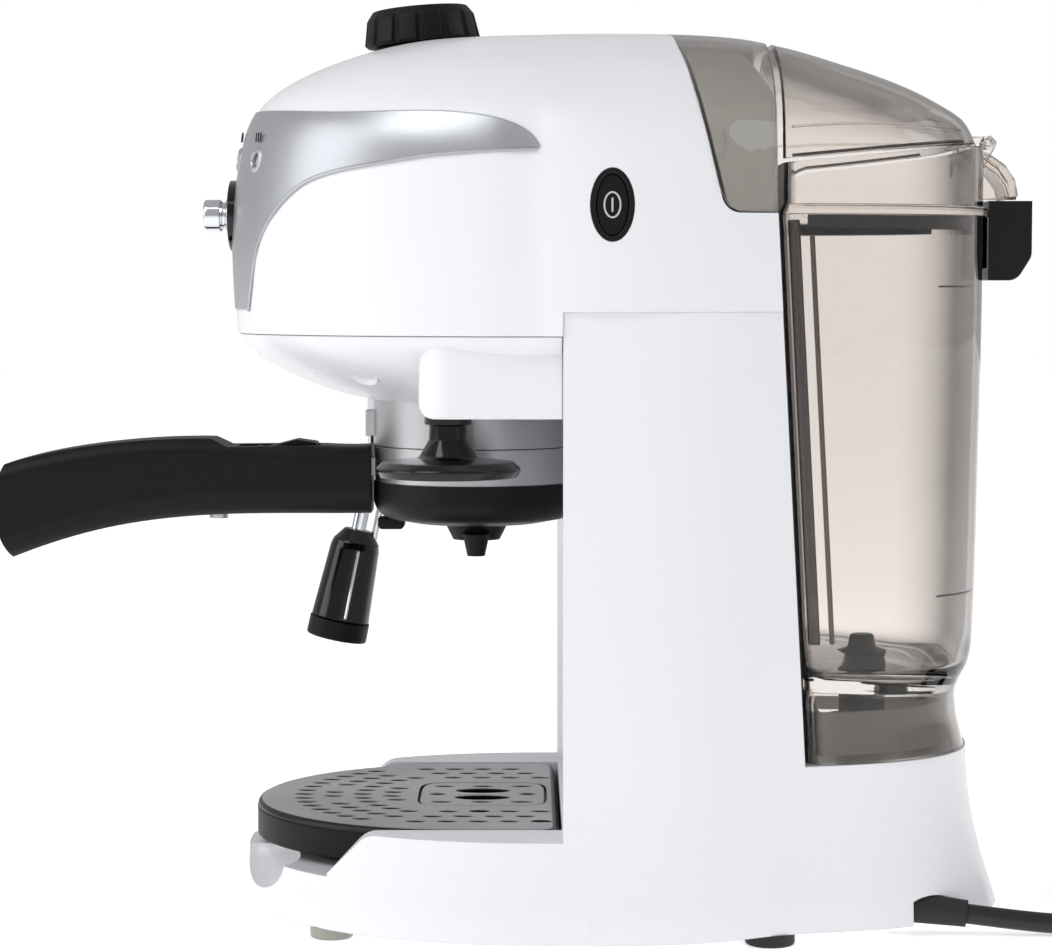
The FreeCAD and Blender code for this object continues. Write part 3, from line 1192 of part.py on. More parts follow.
def make_lid():
    """Domed clear lid of the tank, hinged at the rear."""
    outer = loft(HEAD_LEVELS)
    inner = loft(HEAD_LEVELS, CLEAR_WALL)
    profile = [
        (LID_FRONT_Y + 0.4, LID_LOW_FRONT_Z),
        (LID_HINGE_Y + 8, LID_LOW_REAR_Z),
        (FAR, LID_LOW_REAR_Z),
        (FAR, CROWN_Z + 5),
        (LID_FRONT_Y + 0.4, CROWN_Z + 5),
    ]
    hollow = [
        (LID_FRONT_Y + 0.4 + CLEAR_WALL, LID_LOW_FRONT_Z - 4),
        (FAR, LID_LOW_FRONT_Z - 4),
        (FAR, CROWN_Z + 5),
        (LID_FRONT_Y + 0.4 + CLEAR_WALL, CROWN_Z + 5),
    ]
    body = outer.common(side_prism(profile, -FAR, FAR))
    body = body.cut(inner.common(side_prism(hollow, -FAR, FAR)))
    for side in (-1, 1):
        near, far = sorted((side * (HINGE_EAR_X - GAP), side * (HINGE_EAR_X - 6)))
        barrel = rod(HINGE_RADIUS, (near, LID_HINGE_Y, LID_HINGE_Z), (far, LID_HINGE_Y, LID_HINGE_Z))
        web = box(near, far, LID_HINGE_Y - 7.0, LID_HINGE_Y, LID_HINGE_Z - 0.3, LID_HINGE_Z + HINGE_RADIUS)
        body = body.fuse([barrel, web])
        body = body.cut(rod(HINGE_PIN_RADIUS + RUNNING_FIT, (near - 1, LID_HINGE_Y, LID_HINGE_Z), (far + 1, LID_HINGE_Y, LID_HINGE_Z)))
    return body.removeSplitter()


def cover_profile(grow=0.0):
    """Side outline of the clear cover behind the crown."""
    slant = (COVER_LOW_Y - COVER_TOP_Y) / (CROWN_Z - COVER_LOW_Z)
    return [
        (COVER_LOW_Y + GAP, COVER_LOW_Z + GAP, 6),
        (COVER_REAR_Y, COVER_LOW_Z + GAP),
        (COVER_REAR_Y, CROWN_Z + 5),
        (COVER_TOP_Y - slant * 5 + GAP, CROWN_Z + 5),
    ]


def make_cover():
    """Clear saddle-shaped cover over the accessory space."""
    shell = loft(HEAD_LEVELS).cut(loft(HEAD_LEVELS, CLEAR_WALL))
    return shell.common(side_prism(cover_profile(), -FAR, FAR))


def make_accessory_tray():
    """Light grey insert under the cover, hollowed from the rear for spare baskets."""
    block = loft(HEAD_LEVELS, CLEAR_WALL + 0.5)
    profile = [
        (COVER_LOW_Y + 1.0, COVER_LOW_Z + 0.5, 5),
        (COVER_REAR_Y - 0.5, COVER_LOW_Z + 0.5),
        (COVER_REAR_Y - 0.5, 270, 10),
        (74, 284),
        (COVER_TOP_Y + 3.5, 284),
    ]
    body = block.common(side_prism(profile, -FAR, FAR))
    pocket = box(-60, 60, COVER_LOW_Y + 3.2, COVER_REAR_Y + 5, COVER_LOW_Z + 4, 268)
    body = body.cut(pocket)
    for side in (-1, 1):
        dimple = Part.makeSphere(1.0)
        stretch = FreeCAD.Matrix()
        stretch.scale(V(5, 4, 11))
        dimple = dimple.transformGeometry(stretch)
        dimple.translate(V(side * (BODY_HALF_WIDTH - 4.5), 65.5, 258))
        body = body.cut(dimple)
    return body


# ==== water circuit ===================================================================================================================
def make_pump():
    """Vibration pump lying across the column."""
    body = rod(PUMP_RADIUS, (-28, PUMP_Y, PUMP_Z), (22, PUMP_Y, PUMP_Z))
    inlet = rod(4, (PUMP_INLET_X, PUMP_Y, PUMP_Z), (-27, PUMP_Y, PUMP_Z))
    outlet = rod(4, (21, PUMP_Y, PUMP_Z), (PUMP_OUTLET_X, PUMP_Y, PUMP_Z))
    coil = box(-18, 12, PUMP_Y - 20, PUMP_Y + 20, PUMP_Z - 18, PUMP_Z + 18)
    return join([body, inlet, outlet, coil])


def make_pump_mounts():
    """Rubber rings round the pump's two ends."""
    rings = []
    for x in (-27.5, 13.0):
        rings.append(tube(PUMP_RADIUS + 3, PUMP_RADIUS, (x, PUMP_Y, PUMP_Z), (x + 8, PUMP_Y, PUMP_Z)))
    return Part.makeCompound(rings)


def bent_pipe(points, bends, radius):
    """Round pipe along straight runs joined by tangent arcs."""
    corners = [V(*p) for p in points]
    edges = []
    start = corners[0]
    for i in range(1, len(corners) - 1):
        here = corners[i]
        back = (corners[i - 1] - here).normalize()
        ahead = (corners[i + 1] - here).normalize()
        half_turn = (math.pi - back.getAngle(ahead)) / 2
        reach = bends[i - 1] * math.tan(half_turn)
        first = here + back * reach
        last = here + ahead * reach
        inward = (back + ahead).normalize()
        centre = here + inward * (bends[i - 1] / math.cos(half_turn))
        middle = centre - inward * bends[i - 1]
        edges.append(Part.LineSegment(start, first).toShape())
        edges.append(Part.Arc(first, middle, last).toShape())
        start = last
    edges.append(Part.LineSegment(start, corners[-1]).toShape())
    spine = Part.Wire(edges)
    direction = corners[1] - corners[0]
    disc = Part.Wire([Part.makeCircle(radius, corners[0], direction)])
    pipe = spine.makePipeShell([disc], True, True)
    print("pipe length", round(spine.Length, 2), "volume ratio",
          round(pipe.Volume / (spine.Length * math.pi * radius * radius), 4))
    return pipe, spine.Length


def make_suction_hose():
    """Soft hose from the tank socket to the pump inlet."""
    points = [(0, SOCKET_Y, TANK_DECK_Z - 10), (0, SOCKET_Y, 34), (-56, PUMP_Y, 34), (-56, PUMP_Y, PUMP_Z),
              (PUMP_INLET_X, PUMP_Y, PUMP_Z)]
    pipe, _ = bent_pipe(points, [9, 14, 7.5], 3.2)
    return pipe


def make_pressure_hose():
    """Hose from the pump outlet up to the boiler's inlet."""
    points = [(PUMP_OUTLET_X, PUMP_Y, PUMP_Z), (54, PUMP_Y, PUMP_Z), (54, PUMP_Y, 214), (54, GROUP_Y + 12, 214)]
    pipe, _ = bent_pipe(points, [10, 14], 2.5)
    return pipe


def make_steam_pipe():
    """Pipe from the steam tap down to the wand's socket."""
    top = steam_point(-34)
    points = [top, (0, top[1] - 2, 246.0), (WAND_X, WAND_Y, 232.0), (WAND_X, WAND_Y, 189.0)]
    pipe, _ = bent_pipe(points, [7.0, 14.0], 2.0)
    return pipe


# ==== screws ============================================================================================================================


def make_screws():
    """Screws through the floor plate."""
    group = []
    for x, y in SCREW_PLACES:
        head = rod(3.5, (x, y, BASE_BOTTOM_Z - 1.6), (x, y, BASE_BOTTOM_Z))
        shank = rod(SCREW_RADIUS, (x, y, BASE_BOTTOM_Z - 0.5), (x, y, BASE_BOTTOM_Z + 9))
        cross = box(x - 2, x + 2, y - 0.4, y + 0.4, BASE_BOTTOM_Z - 2, BASE_BOTTOM_Z - 0.8)
        cross = cross.fuse(box(x - 0.4, x + 0.4, y - 2, y + 2, BASE_BOTTOM_Z - 2, BASE_BOTTOM_Z - 0.8))
        group.append(head.fuse(shank).removeSplitter().cut(cross))
    return Part.makeCompound(group)


# ==== cord ==================================================================================================================================


def make_cord_gland():
    """Strain relief in the arched notch."""
    first = V(*CORD_ROUTE[0])
    heading = (V(*CORD_ROUTE[1]) - first).normalize()
    start = first - heading * 26
    outer = Part.makeCone(5.6, 4.4, 24, start, heading)
    collar = Part.makeCylinder(7.2, 2.0, start, heading)
    body = outer.fuse(Part.makeCylinder(4.4, 2.0, start + heading * 24, heading)).fuse(collar)
    body = body.removeSplitter()
    return body.common(box(-FAR, FAR, 0, FAR, BASE_BOTTOM_Z - 3.5, 40))


def make_cord():
    """Visible run of the cord: straight runs joined by tangent arcs."""
    corners = [V(*p) for p in CORD_ROUTE]
    bends = []
    for i in range(1, len(corners) - 1):
        before = corners[i] - corners[i - 1]
        after = corners[i + 1] - corners[i]
        turn = before.getAngle(after)
        bends.append(0.45 * min(before.Length, after.Length) / math.tan(turn / 2))
    print("cord radii", [round(b, 1) for b in bends], "diameter", 2 * CORD_RADIUS)
    pipe, length = bent_pipe(CORD_ROUTE, bends, CORD_RADIUS)
    print("cord run length", round(length, 1), "left in the coil", round(CORD_TOTAL_LENGTH - length, 1))
    return pipe


def make_coil():
    """Rest of the cord, put away as a neat coil: one solid of its outer shape."""
    x, y = COIL_CENTRE
    low = COIL_MEAN_RADIUS - COIL_BAND / 2
    high = COIL_MEAN_RADIUS + COIL_BAND / 2
    corner = CORD_RADIUS - 0.05
    return revolve([(low, 0, corner), (high, 0, corner), (high, COIL_BAND, corner), (low, COIL_BAND, corner)], (x, y, 0))


def make_plug():
    """Plain moulded plug with its strain relief and two flat blades, lying beside the coil."""
    x = COIL_CENTRE[0] + COIL_MEAN_RADIUS + CORD_RADIUS
    outer = COIL_MEAN_RADIUS + COIL_BAND / 2
    start = COIL_CENTRE[1] + math.sqrt(outer ** 2 - (outer - CORD_RADIUS) ** 2) - 1.0
    face = start + RELIEF_LENGTH
    rear = face + PLUG_LENGTH
    half = PLUG_WIDTH / 2
    body = plan_prism([(x - half, face, 6), (x + half, face, 6), (x + half, rear, 3), (x - half, rear, 3)], 0, PLUG_HEIGHT)
    middle = PLUG_HEIGHT / 2
    relief = cone(CORD_RADIUS + 0.1, 6.0, (x, start, 3 * CORD_RADIUS), (x, face + 1, middle))
    blades = [box(x + s * 6.35 - 0.75, x + s * 6.35 + 0.75, rear - 1, rear + 17, middle - 3.2, middle + 3.2)
              for s in (-1, 1)]
    return join([body, relief] + blades)


# ==== write every piece =======================================================================================================================
def main():
    """Build and export all the pieces."""
    upper_shell, lower_shell = make_handle_shells()
    pieces = {
        "lower_housing": make_lower_housing(),
        "base_plate": make_base_plate(),
        "upper_housing": make_upper_housing(),
        "head_underside": make_head_underside(),
        "front_fascia": make_fascia(),
        "selector_plate": make_selector_plate(),
        "selector_knob": make_selector_knob(),
        "selector_switch": make_selector_switch(),
        "indicator_lights": Part.makeCompound([make_light(place) for place in LIGHT_PLACES]),
        "indicator_board": make_indicator_board(),
        "steam_knob": make_steam_knob(),
        "steam_spindle": make_steam_spindle(),
        "steam_collar": make_steam_collar(),
        "steam_valve": make_steam_valve(),
        "power_bezel": make_bezel(),
        "power_button": make_power_button(),
        "power_switch": make_power_switch(),
        "boiler": make_boiler(),
        "thermostats": make_thermostats(),
        "group_flange": make_flange(),
        "group_gasket": make_gasket(),
        "shower_screen": make_shower_screen(),
        "shower_screw": make_shower_screw(),
        "holder_ring": make_holder_ring(),
        "holder_bowl": make_holder_bowl(),
        "filter_basket": make_basket(),
        "holder_spout": make_spout(),
        "handle_upper": upper_shell,
        "handle_lower": lower_shell,
        "handle_screw": make_handle_screw(),
        "basket_lock": make_basket_lock(),
        "lock_pin": make_lock_pin(),
        "tamper": make_tamper(),
        "steam_tube": make_steam_tube(),
        "air_tube": make_air_tube(),
        "frother_body": make_frother_body(),
        "frother_ring": make_frother_ring(),
        "wand_grommet": make_wand_grommet(),
        "drip_tray": make_drip_tray(),
        "drip_grill": make_grill(),
        "cup_stand": make_cup_stand(),
        "water_tank": make_tank(),
        "tank_socket": make_tank_socket(),
        "tank_valve": make_tank_valve(),
        "tank_handle": make_tank_handle(),
        "tank_lid": make_lid(),
        "accessory_cover": make_cover(),
        "accessory_tray": make_accessory_tray(),
        "pump": make_pump(),
        "pump_mounts": make_pump_mounts(),
        "suction_hose": make_suction_hose(),
        "pressure_hose": make_pressure_hose(),
        "steam_pipe": make_steam_pipe(),
        "feet_front": make_feet(FOOT_PLACES[:2], 7.0),
        "feet_rear": make_feet(FOOT_PLACES[2:], 8.0),
        "housing_screws": make_screws(),
        "cord_gland": make_cord_gland(),
        "power_cord": make_cord(),
        "cord_coil": make_coil(),
        "cord_plug": make_plug(),
    }
    for name, shape in pieces.items():
        export(name, shape)


main()
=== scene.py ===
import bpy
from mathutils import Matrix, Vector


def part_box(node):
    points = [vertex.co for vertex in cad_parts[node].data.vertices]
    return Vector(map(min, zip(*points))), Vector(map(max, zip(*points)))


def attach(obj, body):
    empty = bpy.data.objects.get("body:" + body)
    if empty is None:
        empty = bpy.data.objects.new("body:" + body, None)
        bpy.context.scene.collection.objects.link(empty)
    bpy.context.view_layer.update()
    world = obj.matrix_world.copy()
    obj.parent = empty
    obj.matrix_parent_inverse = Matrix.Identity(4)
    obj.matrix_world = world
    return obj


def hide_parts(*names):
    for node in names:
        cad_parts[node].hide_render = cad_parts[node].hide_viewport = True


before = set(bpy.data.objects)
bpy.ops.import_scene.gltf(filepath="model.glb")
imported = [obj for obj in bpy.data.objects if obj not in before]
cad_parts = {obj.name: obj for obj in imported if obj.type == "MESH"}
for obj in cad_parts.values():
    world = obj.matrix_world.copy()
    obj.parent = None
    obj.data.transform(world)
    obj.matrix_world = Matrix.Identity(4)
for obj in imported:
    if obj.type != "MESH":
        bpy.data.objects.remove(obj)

"""Looks of a pod coffee machine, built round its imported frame. Lengths are metres; helper MM is one millimetre."""
import logging
import math
from dataclasses import dataclass
from enum import Enum
from typing import Callable, Optional, Sequence

import bmesh
import bpy
from mathutils import Vector

MM = 0.001
WEAR_PATCH_MM = 60.0
EDGE_RADIUS_MM = 0.6
CREASE_DEGREES = 35.0
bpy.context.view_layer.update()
log = logging.getLogger("coffee_machine")
Point = tuple[float, float, float]
Row = list[Vector]


# ---- colour and node helpers ---------------------------------------------------------------------------
def linear(code: str) -> tuple[float, float, float, float]:
    """Turn an sRGB hex colour into linear light.

    Args:
        code: six hex digits, with or without a leading hash.

    Returns:
        Red, green, blue and an alpha of one.
    """
    code = code.lstrip("#")
    channels = []
    for start in (0, 2, 4):
        value = int(code[start:start + 2], 16) / 255
        channels.append(value / 12.92 if value <= 0.04045 else ((value + 0.055) / 1.055) ** 2.4)
    return channels[0], channels[1], channels[2], 1.0


def add_node(tree: bpy.types.NodeTree, kind: str, settings: Optional[dict] = None,
             links: Optional[dict] = None) -> bpy.types.Node:
    """Add one node with its settings and incoming links.

    Args:
        tree: node tree that receives the node.
        kind: Blender's identifier of the node type.
        settings: attributes, or input values where the name is an input's.
        links: input name or index mapped to the socket that feeds it.

    Returns:
        The new node.
    """
    made = tree.nodes.new(kind)
    for name, value in (settings or {}).items():
        if isinstance(name, int) or name in made.inputs:
            made.inputs[name].default_value = value
        else:
            setattr(made, name, value)
    for name, socket in (links or {}).items():
        tree.links.new(socket, made.inputs[name])
    return made


class Marking(Enum):
    """How a finish breaks up its surface."""

    GRAIN = "grain"
    BRUSHED = "brushed"


@dataclass(frozen=True)
class Finish:
    """A real material and how its surface was made.

    Args:
        name: plain name of the material and its making.
        colour: sRGB hex of the body.
        roughness: middle roughness.
        metallic: one for bare metal, nought otherwise.
        ior: index of refraction of a non-metal.
        grain_mm: real size of the surface texture.
        relief_mm: height of that texture.
        spread: how far the roughness wanders.
        tint: second sRGB hex that the colour drifts towards.
        tint_share: how much of the second colour shows.
        clear: share of light that passes through the body.
        coat: clear lacquer over the colour.
        marking: kind of texture.
        grazing_tint_and_painted_shade: sRGB hex that clear stock deepens to where it is seen along its wall; this is
            partly the deeper tint of the longer path through the wall and partly painted shade for the dark edges that
            refraction gives.
        specular: strength of the surface gloss.
        wiped_above_mm: height under which the stock is bare black, where only the top is coated.
    """

    name: str
    colour: str
    roughness: float
    metallic: float = 0.0
    ior: float = 1.5
    grain_mm: float = 1.0
    relief_mm: float = 0.01
    spread: float = 0.05
    tint: str = ""
    tint_share: float = 0.3
    clear: float = 0.0
    coat: float = 0.0
    marking: Marking = Marking.GRAIN
    grazing_tint_and_painted_shade: str = ""
    specular: float = 0.5
    wiped_above_mm: float = 0.0

    def material(self) -> bpy.types.Material:
        """Return the finish's material, made on first use."""
        found = bpy.data.materials.get(self.name)
        return found if found else self._make()

    def _make(self) -> bpy.types.Material:
        """Build the node tree: grain for relief, broad noise for wear."""
        made = bpy.data.materials.new(self.name)
        made.use_nodes = True
        tree = made.node_tree
        tree.nodes.clear()
        place = add_node(tree, "ShaderNodeTexCoord")
        stretch = (0.04 if self.marking is Marking.BRUSHED else 1.0, 1.0, 1.0)
        mapping = add_node(tree, "ShaderNodeMapping", {"Scale": stretch}, {"Vector": place.outputs["Object"]})
        grain = add_node(tree, "ShaderNodeTexNoise",
                         {"Scale": 1 / (self.grain_mm * MM), "Detail": 3.0, "Roughness": 0.55},
                         {"Vector": mapping.outputs["Vector"]})
        wear = add_node(tree, "ShaderNodeTexNoise", {"Scale": 1 / (WEAR_PATCH_MM * MM), "Detail": 1.0},
                        {"Vector": place.outputs["Object"]})
        rough = add_node(tree, "ShaderNodeMapRange",
                         {"To Min": max(0.0, self.roughness - self.spread), "To Max": self.roughness + self.spread},
                         {"Value": wear.outputs["Fac"]})
        colour = add_node(tree, "ShaderNodeMix", {"data_type": "RGBA"}, {})
        colour.inputs[0].default_value = 0.0
        colour.inputs[6].default_value = linear(self.colour)
        colour.inputs[7].default_value = linear(self.tint or self.colour)
        share = add_node(tree, "ShaderNodeMapRange",
                         {"From Min": 0.2, "From Max": 0.8, "To Max": self.tint_share if self.tint else 0.0},
                         {"Value": wear.outputs["Fac"]})
        tree.links.new(share.outputs["Result"], colour.inputs[0])
        base = colour.outputs[2]
        # Painted shade: where clear stock is seen at a grazing angle, its colour is mixed towards a dark edge colour.
        # This is partly the deeper tint of the longer path through the wall and partly a stand-in for the dark edges
        # that refraction gives.
        if self.grazing_tint_and_painted_shade:
            weight = add_node(tree, "ShaderNodeLayerWeight", {"Blend": 0.3})
            deep = add_node(tree, "ShaderNodeMapRange", {"From Min": 0.1, "From Max": 0.6},
                            {"Value": weight.outputs["Facing"]})
            along = add_node(tree, "ShaderNodeMix", {"data_type": "RGBA"}, {0: deep.outputs["Result"], 6: base})
            along.inputs[7].default_value = linear(self.grazing_tint_and_painted_shade)
            base = along.outputs[2]
        if self.wiped_above_mm:
            split = add_node(tree, "ShaderNodeSeparateXYZ", {}, {"Vector": place.outputs["Object"]})
            coated = add_node(tree, "ShaderNodeMapRange",
                              {"From Min": (self.wiped_above_mm - 0.25) * MM, "From Max": self.wiped_above_mm * MM},
                              {"Value": split.outputs["Z"]}).outputs["Result"]
            under = add_node(tree, "ShaderNodeMix", {"data_type": "RGBA"}, {0: coated, 7: base})
            under.inputs[6].default_value = linear("#08080A")
            base = under.outputs[2]
        rounded = add_node(tree, "ShaderNodeBevel", {"samples": 4, "Radius": EDGE_RADIUS_MM * MM})
        bump = add_node(tree, "ShaderNodeBump", {"Strength": 1.0, "Distance": self.relief_mm * MM},
                        {"Height": grain.outputs["Fac"], "Normal": rounded.outputs["Normal"]})
        shader = add_node(tree, "ShaderNodeBsdfPrincipled",
                          {"Metallic": self.metallic, "Transmission Weight": self.clear, "Coat Weight": self.coat,
                           "Specular IOR Level": self.specular},
                          {"Base Color": base, "Roughness": rough.outputs["Result"],
                           "Normal": bump.outputs["Normal"]})
        if not self.metallic:
            shader.inputs["IOR"].default_value = self.ior
        add_node(tree, "ShaderNodeOutputMaterial", {}, {"Surface": shader.outputs["BSDF"]})
        return made


# Gloss ABS, injection moulded: bright, even white with a soft highlight.
WHITE_ABS = Finish("Gloss_ABS_moulded_white", "#E4E5E9", 0.27, ior=1.5, grain_mm=1.4, relief_mm=0.004,
                   spread=0.02, tint="#E3E4E8", tint_share=0.6)
# Metallic lacquer sprayed on ABS: fine flake, satin sheen.
SILVER_LACQUER = Finish("Silver_lacquer_sprayed_on_ABS", "#A9ABB0", 0.34, metallic=0.75, grain_mm=0.5,
                        relief_mm=0.006, tint="#B9BBC0", tint_share=0.5)
# Spark-eroded ABS: matte black that greys at grazing angles.
BLACK_TEXTURED = Finish("Textured_ABS_moulded_black", "#070708", 0.48, ior=1.5, grain_mm=0.6, relief_mm=0.02,
                        tint="#0B0B0C", tint_share=0.5, specular=0.2)
# Polished ABS: deep black with sharp highlights.
BLACK_GLOSS = Finish("Polished_ABS_moulded_black", "#060607", 0.12, ior=1.5, grain_mm=2.0, relief_mm=0.002,
                     specular=0.4)
# Silvered grill top: dark plastic with a thin metallic wipe.
GRILL_SILVERED = Finish("Textured_ABS_silver_wiped", "#B4B5B7", 0.38, metallic=0.3, grain_mm=0.8, relief_mm=0.03,
                        tint="#8C8D90", tint_share=0.7, wiped_above_mm=35.8)
# Pad-printed ink: dull and even.
INK_DARK = Finish("Pad_print_ink_dark", "#2A2A2C", 0.6, grain_mm=0.5, relief_mm=0.002)
INK_LIGHT = Finish("Pad_print_ink_pale_grey", "#C9C9CB", 0.5, grain_mm=0.5, relief_mm=0.002)
# Light grey polypropylene, moulded: waxy satin.
GREY_PP = Finish("Polypropylene_moulded_light_grey", "#C3C5C3", 0.4, grain_mm=0.9, relief_mm=0.01)
# Smoked styrene-acrylonitrile, polished moulding: clear with a brown-grey cast, deepened at grazing angles, partly as
# tint and partly as painted shade for the dark edges that refraction gives.
SMOKED_SAN = Finish("Smoked_SAN_polished_clear", "#F0EBE7", 0.025, ior=1.38, grain_mm=9.0, relief_mm=0.002,
                    spread=0.015, clear=1.0, grazing_tint_and_painted_shade="#4B4643")
# The same stock where it is thick or seen end on: nearly black-brown. This is partly the real deeper tint of thick
# stock and partly painted shade for the dark edges and shadowed gaps seen in the clear walls.
SMOKED_THICK_AND_SHADED = Finish("Smoked_SAN_thick_and_painted_shade", "#5A5451", 0.06, ior=1.4, grain_mm=6.0, relief_mm=0.002,
                     spread=0.02, clear=0.85, grazing_tint_and_painted_shade="#1E1B1A")
# The same stock with an etched face: greyer, and it blurs what lies behind.
SMOKED_FROST = Finish("Smoked_SAN_etched", "#A8A5A1", 0.45, ior=1.4, grain_mm=0.6, relief_mm=0.01, clear=0.55)
# Chromium plate on brass or ABS: mirror bright.
CHROME = Finish("Chromium_plated_brass", "#D6D8DC", 0.06, metallic=1.0, grain_mm=3.0, relief_mm=0.001, spread=0.03)
# Die-cast aluminium, tumbled: pale satin metal.
CAST_ALUMINIUM = Finish("Aluminium_die_cast_tumbled", "#B9BABC", 0.36, metallic=1.0, grain_mm=0.5, relief_mm=0.015,
                        tint="#9FA1A4", tint_share=0.5)
# Stainless sheet, brushed along its length.
STEEL = Finish("Stainless_steel_brushed", "#B4B6B9", 0.3, metallic=1.0, grain_mm=0.3, relief_mm=0.006,
               marking=Marking.BRUSHED)
# Turned brass rod: warm metal with fine tool marks.
BRASS = Finish("Brass_turned", "#B08D4A", 0.32, metallic=1.0, grain_mm=0.3, relief_mm=0.006)
# Moulded rubbers: dull black, and a milky grey that lets some light in.
RUBBER = Finish("EPDM_rubber_moulded_black", "#151516", 0.62, grain_mm=0.5, relief_mm=0.02, tint="#222224")
RUBBER_GREY = Finish("Silicone_rubber_moulded_grey", "#A7A89F", 0.4, grain_mm=0.8, relief_mm=0.01, clear=0.35)
# Extruded silicone hose: milky and waxy.
SILICONE = Finish("Silicone_hose_extruded", "#D8D8D0", 0.35, grain_mm=0.8, relief_mm=0.006, clear=0.3)
# Moulded acrylic light guide: pale and clear.
LENS = Finish("Acrylic_light_guide_moulded", "#D9D3C4", 0.15, grain_mm=1.0, relief_mm=0.002, clear=0.4)
# Glass-epoxy board under green solder mask.
CIRCUIT = Finish("Glass_epoxy_solder_masked", "#1E5B33", 0.35, grain_mm=0.6, relief_mm=0.01)
# Extruded PVC sheath: satin black.
CORD_PVC = Finish("PVC_cord_extruded_black", "#131314", 0.42, grain_mm=0.8, relief_mm=0.02, tint="#1D1D1F")

NODE_FINISH = {
    "lower_housing": WHITE_ABS, "base_plate": WHITE_ABS, "upper_housing": WHITE_ABS, "head_underside": WHITE_ABS,
    "front_fascia": SILVER_LACQUER, "selector_plate": BLACK_GLOSS, "selector_knob": CHROME,
    "selector_switch": BLACK_TEXTURED, "indicator_lights": LENS, "indicator_board": CIRCUIT,
    "steam_knob": BLACK_TEXTURED, "steam_spindle": STEEL, "steam_collar": BLACK_TEXTURED, "steam_valve": BRASS,
    "power_bezel": BLACK_GLOSS, "power_button": BLACK_TEXTURED, "power_switch": BLACK_TEXTURED,
    "boiler": CAST_ALUMINIUM, "thermostats": STEEL, "group_flange": CAST_ALUMINIUM, "group_gasket": RUBBER,
    "shower_screen": STEEL, "shower_screw": STEEL, "holder_ring": CAST_ALUMINIUM, "holder_bowl": BLACK_TEXTURED,
    "filter_basket": STEEL, "holder_spout": BLACK_TEXTURED, "handle_upper": BLACK_TEXTURED,
    "handle_lower": BLACK_TEXTURED, "handle_screw": STEEL, "basket_lock": BLACK_TEXTURED, "lock_pin": STEEL,
    "tamper": BLACK_GLOSS, "steam_tube": CHROME, "air_tube": CHROME, "frother_body": BLACK_GLOSS,
    "frother_ring": BLACK_TEXTURED, "wand_grommet": BLACK_TEXTURED, "drip_tray": BLACK_TEXTURED,
    "drip_grill": GRILL_SILVERED, "cup_stand": GRILL_SILVERED, "water_tank": SMOKED_SAN, "tank_socket": RUBBER,
    "tank_valve": BLACK_TEXTURED, "tank_handle": BLACK_GLOSS, "tank_lid": SMOKED_SAN, "accessory_cover": SMOKED_SAN,
    "accessory_tray": GREY_PP, "pump": STEEL, "pump_mounts": RUBBER, "suction_hose": SILICONE,
    "pressure_hose": SILICONE, "steam_pipe": STEEL, "feet_front": RUBBER_GREY, "feet_rear": RUBBER,
    "housing_screws": STEEL, "cord_gland": RUBBER, "power_cord": CORD_PVC, "cord_coil": CORD_PVC,
    "cord_plug": CORD_PVC,
}


# ---- mesh helpers: sizes in millimetres until the mesh is made ------------------------------------------
def monotone(knots: Sequence[float], values: Sequence[float]) -> Callable[[float], float]:
    """Return a smooth curve through the values that never overshoots them.

    Args:
        knots: rising places of the values.
        values: one value at each knot.

    Returns:
        A function of place.
    """
    spans = [b - a for a, b in zip(knots, knots[1:])]
    slopes = [(b - a) / span for a, b, span in zip(values, values[1:], spans)]
    tangents = [slopes[0]]
    for i in range(1, len(knots) - 1):
        before, after = slopes[i - 1], slopes[i]
        if before * after <= 0:
            tangents.append(0.0)
        else:
            wide, narrow = 2 * spans[i] + spans[i - 1], spans[i] + 2 * spans[i - 1]
            tangents.append((wide + narrow) / (wide / before + narrow / after))
    tangents.append(slopes[-1])

    def value(place: float) -> float:
        """Return the curve's value at a place."""
        place = min(max(place, knots[0]), knots[-1])
        i = max(k for k in range(len(spans)) if knots[k] <= place)
        t = (place - knots[i]) / spans[i]
        return ((2 * t ** 3 - 3 * t ** 2 + 1) * values[i] + (t ** 3 - 2 * t ** 2 + t) * spans[i] * tangents[i]
                + (3 * t ** 2 - 2 * t ** 3) * values[i + 1] + (t ** 3 - t ** 2) * spans[i] * tangents[i + 1])

    return value


def skin(rings: Sequence[Row], closed: bool = True, cap_start: bool = False,
         cap_end: bool = False) -> bmesh.types.BMesh:
    """Join rings of equal count into one surface.

    Args:
        rings: rows of points, each with the same number of points.
        closed: whether each row runs round to its start.
        cap_start: close the first ring with a fan.
        cap_end: close the last ring with a fan.

    Returns:
        The surface.
    """
    made = bmesh.new()
    rows = [[made.verts.new(point) for point in ring] for ring in rings]
    count = len(rings[0])
    for low, high in zip(rows, rows[1:]):
        for i in range(count if closed else count - 1):
            j = (i + 1) % count
            made.faces.new((low[i], low[j], high[j], high[i]))
    for row, wanted, turned in ((rows[0], cap_start, True), (rows[-1], cap_end, False)):
        if wanted:
            middle = made.verts.new(sum((v.co for v in row), Vector()) / count)
            for i in range(count):
                j = (i + 1) % count
                made.faces.new((row[j], row[i], middle) if turned else (row[i], row[j], middle))
    return made


